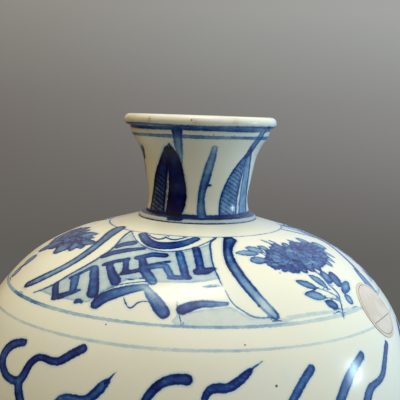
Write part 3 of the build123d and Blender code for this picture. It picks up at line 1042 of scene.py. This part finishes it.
def paint_shoulder():
    """Three panels of fret, with ribs beside them and a flower between each two."""
    p = Painting(shoulder)
    lines = traced_rows(panel_lines_px, wall_target)
    bars = traced_rows(fret_bars_px, wall_target, bend=False)
    bars += traced_rows(cloud_strokes_px, wall_target)
    bars.append(loaded(boss_stroke_px, wall_target))
    ribs = [loaded(points, wall_target) for points in rib_strokes_px]
    washes = traced_areas(washes_px, wall_target, wash_step_px)
    stems = traced_rows(stems_px, wall_target)
    leaves = traced_leaves(leaves_px)
    petals = flower_petals()
    cx, cy = flower_middle_px
    middles = [seen_at(cx + x, cy + y, wall_target) for x, y in flower_mass_px]
    flower_mass = Stroke(middles, flower_mass_halves, flower_mass_load)
    for turn in (0, right_panel, left_panel):
        left = turn == left_panel
        for load, area in washes:
            p.region(area.copied(turn), load)
        for stroke in bars:
            p.brush(stroke.copied(turn))
        for i, line in enumerate(lines + stems):
            if (turn, i) != (right_panel, 0) and not (left and i >= len(lines)):
                p.thin(line.copied(turn))
        for i, rib in enumerate(ribs):
            if (turn, i) != (right_panel, 0):
                p.petal(rib.copied(turn), *rib_outline)
        for leaf in [] if left else leaves:
            p.petal(leaf.copied(turn), *leaf_outline)
        p.brush(flower_mass.copied(turn), "wash")
        for petal, lowest in petals:
            if not (left and lowest):
                p.petal(petal.copied(turn), *petal_outline)
    for leaf in traced_leaves(left_leaves_px):
        p.petal(leaf, *left_leaf_outline)
    p.petal(ribs[0], *rib_outline)
    for line in traced_rows((next_rib_px,), wall_target):
        p.thin(line)
    p.petal(loaded(next_rib_foot_px, wall_target), *next_rib_outline)
    for row, fade in shoulder_rings:
        p.ring(*row, fade=fade)
    return p


def paint_neck():
    """Two pairs of leaves with a broad stroke between them, and the lines under the rim and at the foot."""
    p = Painting(neck, neck_outside, neck_axis)
    strokes = [loaded(points, neck_target) for points in neck_strokes_px]
    lines = traced_rows(neck_lines_px, neck_target)
    fills = traced_areas(neck_fills_px, neck_target, neck_fill_step_px)
    ribs = traced_rows(neck_midribs_px, neck_target)
    veins = []
    for count, (x, y), (over, down), points, start, end in neck_veins_px:
        for k in range(count):
            vein = [(x + over * k + dx, y + down * k + dy, half) for dx, dy, half in points]
            veins.append(traced(vein, start, end, neck_target))
    for turn in (0, 180):
        for load, area in fills:
            p.region(area.copied(turn, neck_axis), load)
        for vein in veins:
            rows, _, side, load, half = p.measured(vein.copied(turn, neck_axis))
            leafy = p.values["wash_edge"][rows] > vein_margin
            p.rule(rows[leafy], side[leafy], half[leafy], load[leafy])
        for stroke in strokes:
            p.brush(stroke.copied(turn, neck_axis))
        for line in lines:
            p.thin(line.copied(turn, neck_axis))
        for rib in ribs:
            p.spare(rib.copied(turn, neck_axis))
            p.brush(rib.copied(turn, neck_axis), "wash")
    for turn in (-90, 90):
        p.brush(strokes[1].copied(turn, neck_axis))
    p.brush(loaded(neck_edge_px, neck_target))
    for row, fade, broad in neck_rings:
        p.ring(*row, fade=fade, broad=broad)
    stain = np.zeros(len(p.places))
    for x, y, size in rim_stains_px:
        away = np.linalg.norm(p.places - seen_at(x, y, neck_target), axis=1)
        stain = np.maximum(stain, np.exp(-(away / size) ** 2))
    add_values(neck, "stain", stain)
    return p


def paint_bead():
    """The bead, with the dark leaf's foot brushed over it."""
    p = Painting(bead, bead_line, neck_axis)
    for row, broad in bead_rings:
        p.ring(*row, broad=broad)
    height = bead_top - leaf_foot_drop
    for turn in (0, 180):
        points = [(azimuth + turn, height, leaf_foot_half) for azimuth in leaf_foot_azimuths]
        p.brush(drawn(points, leaf_foot_load, leaf_foot_load, bead_line, neck_axis))
    return p


def lotus(azimuth, height, size):
    """A lotus seen from the side, as petals and a seed head round a place on the wall."""
    radius = radius_at(outside, height)

    def spot(across, up, half):
        return azimuth + math.degrees(across * size / radius), height + up * size, half * size

    petals = []
    for length, half, lean_most, count in lotus_rows:
        for i in range(count):
            lean = math.radians(between(-lean_most, lean_most, i / (count - 1)))
            s, c = math.sin(lean), math.cos(lean)
            points = []
            for along, thick, curl in lotus_petal_shares:
                up = (c * along + s * curl) * length
                points.append(spot(s * along * length, up, half * thick))
            petals.append(drawn(points, *lotus_petal_loads))
    seed_head = [spot(*shares) for shares in seed_head_shares]
    return petals + [drawn(seed_head, seed_head_load, seed_head_load)]


def vine_at(azimuth):
    return vine_height + vine_swing * math.sin(math.radians(vine_waves * azimuth))


def vine_leaf(azimuth, side, length, turn):
    """A curling leaf that springs from the vine, as one brush stroke that swells and thins."""
    height = vine_at(azimuth)
    lean, curl = vine_leaf_lean
    points = []
    for along, half in vine_leaf_shares:
        angle = math.radians(turn) * (lean + along * curl)
        across = length * along * math.cos(angle)
        up = length * along * math.sin(angle) * side
        points.append((azimuth + math.degrees(across / vine_radius), height + up, half))
    return drawn(points, *vine_leaf_loads)


def lappet(azimuth):
    """An upright lappet of the border above the foot: two outlines, and a drop between two dashes."""
    low, rise = lappet_low, lappet_high - lappet_low
    turn = 360.0 / lappet_count
    outlines = []
    for scale, half, load in lappet_outlines:
        tall = rise * between(1.0, scale, lappet_height_share)
        points = [(azimuth + x * turn * scale, low + tall * y, half) for x, y in lappet_shares]
        outlines.append(drawn(points, load, load))
    points = [(azimuth + x, low + up, half) for x, up, half in lappet_drop]
    strokes = [drawn(points, *lappet_drop_loads)]
    for side in (-turn, turn):
        points = [(azimuth + side * x, low + up, half) for x, up, half in lappet_dash]
        strokes.append(drawn(points, *lappet_dash_loads))
    return outlines, strokes


def paint_body(shoulder_paint):
    """The body: the strokes at the top are the photograph's, and the rest continues them round and down."""
    p = Painting(belly)
    q = Painting(lower_body)

    def everywhere(act, stroke, *rest):
        for piece in (p, q, shoulder_paint):
            getattr(piece, act)(stroke, *rest)

    tops = [("brush", stroke) for stroke in traced_rows(body_scroll_px, wall_target)]
    tops += [("thin", stroke) for stroke in traced_rows(body_tails_px, wall_target)]
    for turn in (0, 120, 240):
        for i, (act, stroke) in enumerate(tops):
            if (turn, i) != (240, len(body_scroll_px) - 1):
                everywhere(act, stroke.copied(turn))
    vine = []
    for azimuth in range(0, 361, vine_every):
        half = vine_half + vine_swell * math.sin(math.radians(azimuth * vine_swells))
        vine.append((azimuth, vine_at(azimuth), half))
    everywhere("brush", drawn(vine, 1.0, 1.0, step=vine_step))
    beyond, shorter, flatter = vine_partner
    for i in range(2 * vine_waves):
        crest = crest_turn * (2 * i + 1)
        side = -1 if i % 2 == 0 else 1
        for offset, length, lean in vine_leaves:
            everywhere("brush", vine_leaf(crest + offset, side, length, lean))
            everywhere("brush", vine_leaf(crest + offset + beyond, -side, length * shorter, lean * flatter))
        middle = vine_at(crest) + side * (vine_swing + lotus_rise) - lotus_size * lotus_sink_share
        before = crest - vine_every
        stalk = [(before, vine_at(before), stalk_halves[0]), (crest, middle, stalk_halves[1])]
        everywhere("brush", drawn(stalk, *stalk_loads))
        for petal in lotus(crest, middle, lotus_size):
            everywhere("petal", petal, *lotus_outline)
    for row in joint_rings:
        p.ring(*row)
        q.ring(*row)
    for row in foot_rings:
        q.ring(*row)
    for i in range(lappet_count):
        outlines, strokes = lappet(360.0 * i / lappet_count)
        for outline in outlines:
            q.thin(outline)
        for stroke in strokes:
            q.brush(stroke)
    return p, q


shoulder_paint = paint_shoulder()
neck_paint = paint_neck()
bead_paint = paint_bead()
belly_paint, lower_paint = paint_body(shoulder_paint)
for painting in (shoulder_paint, neck_paint, bead_paint, belly_paint, lower_paint):
    painting.done()


# Node helpers

class Nodes:
    """Adds nodes to one tree. A value is a number, a colour, or what another node gives."""

    def __init__(self, tree):
        self.tree = tree
        self.coordinates = tree.nodes.new("ShaderNodeTexCoord").outputs
        self.place = self.coordinates["Object"]

    def feed(self, socket, value):
        if isinstance(value, (int, float, tuple)):
            socket.default_value = value
        else:
            self.tree.links.new(value, socket)

    def add(self, kind, values=(), **settings):
        """A node with its settings and its inputs, which are given by name or from the first on."""
        node = self.tree.nodes.new("ShaderNode" + kind)
        for name, value in settings.items():
            setattr(node, name, value)
        for name, value in values.items() if isinstance(values, dict) else enumerate(values):
            self.feed(node.inputs[name], value)
        return node

    def maths(self, operation, *values):
        return self.add("Math", values, operation=operation).outputs[0]

    def times(self, first, second):
        return self.maths("MULTIPLY", first, second)

    def plus(self, first, second):
        return self.maths("ADD", first, second)

    def minus(self, first, second):
        return self.maths("SUBTRACT", first, second)

    def vector(self, operation, *values, output="Value"):
        return self.add("VectorMath", values, operation=operation).outputs[output]

    def spread(self, value, low, high, to_low=0.0, to_high=1.0, smooth=True):
        """A value between low and high, brought to between two others."""
        ends = {"Value": value, "From Min": low, "From Max": high, "To Min": to_low, "To Max": to_high}
        shape = "SMOOTHSTEP" if smooth else "LINEAR"
        return self.add("MapRange", ends, interpolation_type=shape).outputs["Result"]

    def noise(self, scale, detail=3.0, roughness=0.55, place=None):
        place = self.place if place is None else place
        values = {"Vector": place, "Scale": scale, "Detail": detail, "Roughness": roughness}
        return self.add("TexNoise", values).outputs["Fac"]

    def mixed(self, share, first, second, mode="MIX"):
        values = {"Factor": share, "A": first, "B": second}
        return self.add("Mix", values, data_type="RGBA", blend_type=mode).outputs["Result"]

    def painted(self, name):
        """A value kept on the piece's vertices."""
        return self.add("Attribute", attribute_name=name).outputs["Fac"]

    def ramp(self, value, stops):
        node = self.add("ValToRGB", [value])
        elements = node.color_ramp.elements
        while len(elements) < len(stops):
            elements.new(0.5)
        for element, (position, colour) in zip(elements, stops):
            element.position = position
            element.color = colour
        return node.outputs["Color"]


def group(name, inputs, outputs):
    """A node group with only its sockets, named with their defaults, which are colours or numbers."""
    tree = bpy.data.node_groups.new(name, "ShaderNodeTree")
    for direction, sockets in (("INPUT", inputs), ("OUTPUT", outputs)):
        for socket, value in sockets.items():
            kind = "NodeSocketColor" if isinstance(value, tuple) else "NodeSocketFloat"
            made = tree.interface.new_socket(name=socket, in_out=direction, socket_type=kind)
            made.default_value = value
    given = tree.nodes.new("NodeGroupInput").outputs
    return Nodes(tree), given, tree.nodes.new("NodeGroupOutput").inputs


def new_material(name):
    material = bpy.data.materials.new(name)
    material.use_nodes = True
    tree = material.node_tree
    return material, Nodes(tree), tree.nodes["Principled BSDF"].inputs


def surface(n, shader, colour, roughness, height, strength, depth):
    """Gives a shader its colour and roughness, and a bump whose height of 1 is depth in millimetres."""
    n.feed(shader["Base Color"], colour)
    n.feed(shader["Roughness"], roughness)
    bump = n.add("Bump", {"Strength": strength, "Distance": depth * MM, "Height": height})
    n.feed(shader["Normal"], bump.outputs["Normal"])


# Colours and finishes

cobalt_passes = (0.017, 0.080, 0.370)
line_share_over_broad = 0.5
softness_of = {"ink": 0.26, "wash": 0.30, "line": 0.16}
wall_line_gap = 0.48
neck_line_gap = 0.30

# Cobalt: ranges of noise or of depth in a stroke, and what they are brought to
ragged_edge = (0.3, 0.7, -0.14, 0.14)
uneven_load = (0.3, 0.7, 0.66, 1.34)
cloudy_load = (0.3, 0.7, 0.74, 1.26)
pooled_edge = (0.15, 1.25, 1.30, 0.66)
faint_halo = (-1.2, 0.0, 0.0, 0.06)

# Glaze: its colours, warm and cool patches, dirt in some cells, gloss and dimples
glaze_colour = lin(232, 231, 208)
glaze_warm = lin(236, 228, 196)
glaze_cool = lin(216, 226, 214)
glaze_dirt = lin(104, 88, 66)
warm_patches = (0.35, 0.7, 0.0, 0.5)
cool_patches = (0.5, 0.8, 0.0, 0.35)
dirt_cells = 62
dirt_above = 0.88
dirt_inner, dirt_outer = 0.020, 0.042
dirt_share = 0.6
dirt_height = 0.05
glaze_roughness = (0.3, 0.7, 0.14, 0.24)
middle_dimples, fine_dimples = 0.14, 0.022
glaze_bump = (0.35, 0.55)
glaze_ior = 1.46
glaze_specular = 0.42
pooled_colour = lin(168, 178, 176)
stain_colour = lin(190, 142, 86)
stain_patches = (0.25, 0.75)
stain_share = 0.65

# Bare biscuit at the foot, slip, paper and specks
biscuit_pale = lin(214, 198, 170)
biscuit_dark = lin(190, 168, 136)
biscuit_burnt = lin(178, 118, 70)
burnt_from, burnt_to = 1.9, 3.6
glazed_from, glazed_to = 3.4, 4.2
glaze_edge_waver = 1.6
biscuit_grain = (0.35, 0.7)
biscuit_rough, foot_glaze_rough = 0.75, 0.18
slip_pale = lin(232, 227, 208)
slip_dark = lin(212, 203, 178)
slip_streaks = (1.0, 1.0, 6.0)
slip_roughness = (0.3, 0.7, 0.38, 0.6)
slip_bump = (0.5, 0.3)
slip_grain_share = 0.12
paper_pale = lin(216, 205, 188)
paper_dark = lin(204, 189, 168)
paper_fibre = lin(236, 228, 214)
paper_worn = lin(196, 172, 144)
print_ink = lin(92, 84, 84)
paper_mottling = (0.45, 0.75, 0.0, 0.3)
paper_roughness = (0.3, 0.7, 0.6, 0.82)
paper_bump = (0.4, 0.08)
paper_worn_share = 0.5
ink_cover = (0.3, 0.6, 0.55, 0.9)
speck_black = lin(38, 34, 34)
speck_brown = lin(122, 92, 62)
speck_rust = lin(88, 48, 36)
speck_straw = lin(186, 172, 128)
specks_px = {
    "wall": (
        (259, 306, 0.75, speck_black), (329.8, 289.3, 0.55, speck_rust), (276.5, 386, 0.6, speck_black),
        (280, 273, 0.7, speck_straw), (105.8, 324.5, 0.38, speck_black), (245, 345, 0.45, speck_brown),
    ),
    "neck": (
        (149.5, 118.3, 0.42, speck_brown), (191.6, 120, 0.45, speck_black),
        (213.5, 134.8, 0.35, speck_brown), (234.4, 136, 0.35, speck_brown),
    ),
}


def brushed_cobalt_group():
    """Density of cobalt under the glaze, from how deep a place lies inside a stroke and the stroke's load."""
    inputs = {"Edge": 0.0, "Load": 0.0, "Softness": 0.2}
    n, given, out = group("brushed_cobalt", inputs, {"Density": 0.0})
    ragged = n.spread(n.noise(900), *ragged_edge, smooth=False)
    uneven = n.spread(n.noise(330, 4, 0.6), *uneven_load, smooth=False)
    cloudy = n.spread(n.noise(95, 2), *cloudy_load, smooth=False)
    edge = n.plus(given["Edge"], ragged)
    cover = n.spread(edge, n.times(given["Softness"], -1.0), given["Softness"])
    pooled = n.spread(edge, *pooled_edge)
    halo = n.spread(edge, *faint_halo)
    body = n.times(n.times(cover, pooled), n.times(uneven, cloudy))
    n.feed(out["Density"], n.times(n.plus(body, halo), given["Load"]))
    return n.tree


def glaze_group():
    """The glaze itself: its colour without cobalt, its roughness and its height."""
    outputs = {"Colour": glaze_colour, "Roughness": 0.0, "Height": 0.0}
    n, given, out = group("celadon_white_glaze", {"Colour": glaze_colour}, outputs)
    broad = n.noise(22, 2)
    middle = n.noise(140)
    fine = n.noise(1300, 2)
    warm = n.mixed(n.spread(broad, *warm_patches), given["Colour"], glaze_warm)
    cool = n.mixed(n.spread(middle, *cool_patches), warm, glaze_cool)
    cells = n.add("TexVoronoi", {"Vector": n.place, "Scale": dirt_cells}).outputs
    chance = n.add("SeparateColor", [cells["Color"]]).outputs
    inner = n.times(chance["Green"], dirt_inner)
    outer = n.times(chance["Green"], dirt_outer)
    dot = n.spread(cells["Distance"], inner, outer, 1.0, 0.0)
    dirt = n.times(n.maths("GREATER_THAN", chance["Red"], dirt_above), dot)
    n.feed(out["Colour"], n.mixed(n.times(dirt, dirt_share), cool, glaze_dirt))
    n.feed(out["Roughness"], n.spread(middle, *glaze_roughness))
    dimpled = n.plus(n.plus(broad, n.times(middle, middle_dimples)), n.times(fine, fine_dimples))
    n.feed(out["Height"], n.minus(dimpled, n.times(dirt, dirt_height)))
    return n.tree


brushed_cobalt = brushed_cobalt_group()
celadon_white_glaze = glaze_group()


def cobalt_film(n, line_gap):
    """The colour of the light that the painted cobalt lets through."""
    clear = n.minus(n.painted("line_away"), line_gap)
    off = n.maths("MAXIMUM", n.maths("ABSOLUTE", n.painted("line_side")), clear)
    edges = {"ink": n.painted("ink_edge"), "wash": n.painted("wash_edge")}
    edges["line"] = n.minus(n.painted("line_half"), off)
    densities = []
    for layer, edge in edges.items():
        values = {"Edge": edge, "Load": n.painted(layer + "_load"), "Softness": softness_of[layer]}
        densities.append(n.add("Group", values, node_tree=brushed_cobalt).outputs["Density"])
    broad = n.plus(densities[0], densities[1])
    lined = n.plus(n.times(broad, line_share_over_broad), densities[2])
    density = n.maths("MAXIMUM", broad, lined)
    passed = [n.maths("POWER", share, density) for share in cobalt_passes]
    return n.add("CombineColor", passed).outputs["Color"]


def specked(n, colour, part):
    """The few iron specks that the photograph shows in the glaze."""
    for x, y, size, tint in specks_px.get(part, ()):
        spot = seen_at(x, y, neck_target if part == "neck" else wall_target)
        away = n.vector("DISTANCE", n.place, tuple(spot * MM))
        colour = n.mixed(n.spread(away, size * 0.4 * MM, size * MM, 0.9, 0.0), colour, tint)
    return colour


def bare_foot(n, colour):
    """Colour and roughness where the glaze stops above the foot, and the biscuit is burnt at its edge."""
    height = n.add("SeparateXYZ", [n.place]).outputs["Z"]
    level = n.plus(height, n.times(n.noise(160), glaze_edge_waver * MM))
    biscuit = n.mixed(n.spread(n.noise(700, 5, 0.7), *biscuit_grain), biscuit_pale, biscuit_dark)
    burnt = n.mixed(n.spread(level, burnt_from * MM, burnt_to * MM), biscuit, biscuit_burnt)
    glazed = n.spread(level, glazed_from * MM, glazed_to * MM)
    roughness = n.spread(glazed, 0.0, 1.0, biscuit_rough, foot_glaze_rough, smooth=False)
    return n.mixed(glazed, burnt, colour), roughness


def porcelain(name, part, line_gap=0.0, under=glaze_colour):
    """Glazed porcelain with what is painted on the piece's vertices, under one clear glaze."""
    material, n, shader = new_material(name)
    glaze = n.add("Group", {"Colour": under}, node_tree=celadon_white_glaze).outputs
    colour, roughness = glaze["Colour"], glaze["Roughness"]
    if part == "neck":
        patchy = n.spread(n.noise(260, 4, 0.65), *stain_patches)
        share = n.times(n.painted("stain"), patchy)
        colour = n.mixed(n.times(share, stain_share), colour, stain_colour)
    if line_gap:
        colour = n.mixed(1.0, colour, cobalt_film(n, line_gap), "MULTIPLY")
    colour = specked(n, colour, part)
    if part == "foot":
        colour, roughness = bare_foot(n, colour)
    surface(n, shader, colour, roughness, glaze["Height"], *glaze_bump)
    shader["IOR"].default_value = glaze_ior
    shader["Specular IOR Level"].default_value = glaze_specular
    return material


def slip_material():
    """Slip smoothed over a joint by hand, under a thin glaze."""
    material, n, shader = new_material("smoothed_slip")
    streaked = n.add("Mapping", {"Vector": n.place, "Scale": slip_streaks})
    strokes = n.noise(120, place=streaked.outputs["Vector"])
    grain = n.noise(1600)
    colour = n.mixed(n.spread(strokes, 0.3, 0.7), slip_pale, slip_dark)
    height = n.plus(strokes, n.times(grain, slip_grain_share))
    surface(n, shader, colour, n.spread(grain, *slip_roughness), height, *slip_bump)
    return material


label_drop = 26.5
label_azimuth = 62.0
label_border = (9.7, 10.0)
label_worn = (10.3, 11.0)
border_line = (0.08, 0.2)
divider_line = (0.1, 0.22)
divider_px = ((374.0, 324.6), (388.8, 312.6))


def label_paper():
    """Cream paper, printed with a thin border and one dividing line, and otherwise blank."""
    material, n, shader = new_material("label_paper")
    middle = Vector(on_wall(label_azimuth, seat_height - label_drop))
    slope = radius_at(outside, middle.z + 0.5) - radius_at(outside, middle.z - 0.5)
    angle = math.radians(label_azimuth)
    out = Vector((math.sin(angle), -math.cos(angle), -slope)).normalized()
    ends = [Vector(seen_at(x, y, wall_target)) - middle for x, y in divider_px]
    across = (ends[1] - ends[0]).cross(out).normalized()
    offset = n.vector("SUBTRACT", n.place, tuple(middle * MM), output="Vector")
    from_middle = n.vector("LENGTH", n.vector("CROSS_PRODUCT", offset, tuple(out), output="Vector"))
    from_line = n.minus(n.vector("DOT_PRODUCT", offset, tuple(across)), ends[0].dot(across) * MM)
    inner, outer = label_border
    border_off = n.maths("ABSOLUTE", n.minus(from_middle, (inner + outer) / 2 * MM))
    border = n.spread(border_off, border_line[0] * MM, border_line[1] * MM, 1.0, 0.0)
    within = n.spread(from_middle, inner * MM, (inner + 0.1) * MM, 1.0, 0.0)
    line_off = n.maths("ABSOLUTE", from_line)
    divider = n.times(n.spread(line_off, divider_line[0] * MM, divider_line[1] * MM, 1.0, 0.0), within)
    fibres = n.noise(1500, 5, 0.7)
    aged = n.noise(130)
    paper = n.mixed(n.spread(aged, 0.35, 0.7), paper_pale, paper_dark)
    mottled = n.mixed(n.spread(fibres, *paper_mottling), paper, paper_fibre)
    worn = n.spread(from_middle, label_worn[0] * MM, label_worn[1] * MM)
    edged = n.mixed(n.times(worn, paper_worn_share), mottled, paper_worn)
    ink = n.times(n.maths("MAXIMUM", border, divider), n.spread(fibres, *ink_cover))
    height = n.plus(fibres, n.times(aged, 2.0))
    printed = n.mixed(ink, edged, print_ink)
    surface(n, shader, printed, n.spread(fibres, *paper_roughness), height, *paper_bump)
    return material


wall_porcelain = porcelain("cobalt_painted_porcelain", "wall", wall_line_gap)
rim_porcelain = porcelain("stained_rim_porcelain", "neck", neck_line_gap)
foot_porcelain = porcelain("porcelain_with_bare_foot", "foot", wall_line_gap)
bead_porcelain = porcelain("pooled_glaze", "bead", neck_line_gap, pooled_colour)
plain_porcelain = porcelain("plain_glazed_porcelain", "base")
smoothed_slip = slip_material()
cream_paper = label_paper()

pieces = (
    (shoulder, "shoulder", "glazed_wall", wall_porcelain),
    (belly, "belly", "glazed_wall", wall_porcelain),
    (lower_body, "lower_body", "glazed_wall", foot_porcelain),
    (neck, "neck", "glazed_wall", rim_porcelain),
    (base, "base_disc", "glazed_wall", plain_porcelain),
    (bead, "slip_seam_neck", "glaze_bead", bead_porcelain),
)
for obj, node, slot, material in pieces:
    obj.data.materials.append(material)
    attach(obj, "root")
    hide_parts(node)
kept_nodes = {name: smoothed_slip for name in ("slip_seam_base", "slip_seam_lower", "slip_seam_upper")}
kept_nodes["paper_label"] = cream_paper
for node, material in kept_nodes.items():
    for slot in bpy.data.objects[node].material_slots:
        slot.material = material


# Floor and light

floor_solid = 0.22
floor_reach = 0.8
floor_sides = 96
floor_colour = lin(190, 189, 186)


def fading_floor():
    """A plain floor that fades into the backdrop before its edge."""
    material, n, shader = new_material("pale_floor")
    shader["Base Color"].default_value = floor_colour
    shader["Roughness"].default_value = 0.75
    nodes = n.tree.nodes
    away = n.vector("LENGTH", n.place)
    solid = nodes["Principled BSDF"].outputs["BSDF"]
    clear = n.add("BsdfTransparent").outputs["BSDF"]
    faded = n.add("MixShader", [n.spread(away, floor_solid, floor_reach), solid, clear])
    n.feed(nodes["Material Output"].inputs["Surface"], faded.outputs["Shader"])
    bm = bmesh.new()
    bmesh.ops.create_circle(bm, cap_ends=True, segments=floor_sides, radius=floor_reach)
    floor = finished("floor", bm)
    floor.data.materials.append(material)


fading_floor()

lamp_aim = Vector((0, 0, 0.245))


def lamp(name, azimuth, elevation, distance, size, power, colour, shift=0.0):
    """A soft lamp that shines at the shoulder from a direction as seen from there, moved to the right."""
    a, e = math.radians(azimuth), math.radians(elevation)
    way = Vector((math.sin(a) * math.cos(e), -math.cos(a) * math.cos(e), math.sin(e)))
    data = bpy.data.lights.new(name, "AREA")
    data.shape = "RECTANGLE"
    data.size, data.size_y = size
    data.energy = power
    data.color = colour
    obj = bpy.data.objects.new(name, data)
    obj.location = lamp_aim + way * distance + Vector((shift, 0, 0))
    obj.rotation_euler = way.to_track_quat("Z", "Y").to_euler()
    bpy.context.scene.collection.objects.link(obj)


lamp("overhead", 20, 86.5, 1.0, (0.48, 0.32), 4.4, (1.0, 0.98, 1.02), -0.06)
lamp("window_right", 86, 7, 1.0, (0.12, 0.15), 1.5, (0.60, 0.86, 1.0))
lamp("front_softbox", 21, 60, 1.6, (1.6, 1.0), 4.0, (1.0, 0.99, 0.94))


def grey(level, red=1.0, blue=1.0):
    return level * red, level, level * blue, 1.0


# The room round the vase: stops of height, with the backdrop's own for the camera
backdrop_stops = (
    (0.0, lin(90, 89, 86)), (0.13, lin(95, 95, 91)), (0.23, lin(98, 96, 92)), (0.37, lin(109, 106, 103)),
    (0.64, lin(131, 129, 126)), (0.79, lin(146, 146, 142)), (0.87, lin(154, 153, 149)),
)
tint_stops = ((0.0, (0.83, 0.78, 0.745, 1)), (0.5, (1.0, 1.0, 1.0, 1)), (1.0, (1.17, 1.20, 1.24, 1)))
warm_stops = (
    (0.35, grey(0.04, 2.2, 0.15)), (0.5, grey(0.09, 2.3, 0.12)), (0.62, grey(0.16, 1.7, 0.25)),
    (0.8, grey(0.66, 1.14, 0.52)), (1.0, grey(0.95)),
)
cool_stops = (
    (0.35, grey(0.12, 0.55, 2.0)), (0.5, grey(0.36, 0.66, 1.75)), (0.62, grey(0.64, 0.80, 1.42)),
    (0.8, grey(0.85, 0.98, 1.05)), (1.0, grey(0.95)),
)
window_way = Vector((0.93, 0.22, 0.22)).normalized()
window_colour = grey(1.35, 0.72, 1.22)

# Where each shade of the room starts and ends, by direction, and what it is there
backdrop_span = (-0.3, 0.2)
tint_span = (-0.27, 0.27)
tint_fade = (-0.21, -0.02, 0.25, 1.0)
sides_span = (-0.5, 0.5)
front_span = (-0.9, -0.2, 0.55, 1.0)
window_span = (0.62, 0.96, 0.0, 0.8)


def light_the_room():
    """The backdrop that the camera sees, and the warm and cool room that lights the glaze."""
    world = bpy.data.worlds.new("studio")
    bpy.context.scene.world = world
    world.use_nodes = True
    n = Nodes(world.node_tree)
    direction = n.coordinates["Generated"]
    way = n.add("SeparateXYZ", [direction]).outputs
    backdrop = n.ramp(n.spread(way["Z"], *backdrop_span, smooth=False), backdrop_stops)
    sideways = n.times(way["X"], n.spread(way["Z"], *tint_fade))
    tint = n.ramp(n.spread(sideways, *tint_span, smooth=False), tint_stops)
    backdrop = n.mixed(1.0, backdrop, tint, "MULTIPLY")
    level = n.spread(way["Z"], -1.0, 1.0, smooth=False)
    warm, cool = n.ramp(level, warm_stops), n.ramp(level, cool_stops)
    room = n.mixed(n.spread(way["X"], *sides_span), warm, cool)
    dim_front = n.spread(way["Y"], *front_span)
    room = n.mixed(1.0, room, n.add("CombineColor", [dim_front] * 3).outputs["Color"], "MULTIPLY")
    toward_window = n.vector("DOT_PRODUCT", direction, tuple(window_way))
    room = n.mixed(n.spread(toward_window, *window_span), room, window_colour)
    path = n.add("LightPath").outputs
    unlit = n.maths("MAXIMUM", path["Is Camera Ray"], path["Is Transmission Ray"])
    background = world.node_tree.nodes["Background"].inputs
    n.feed(background["Color"], n.mixed(unlit, room, backdrop))
    background["Strength"].default_value = 1.0


light_the_room()
bpy.context.scene.view_settings.view_transform = "Standard"
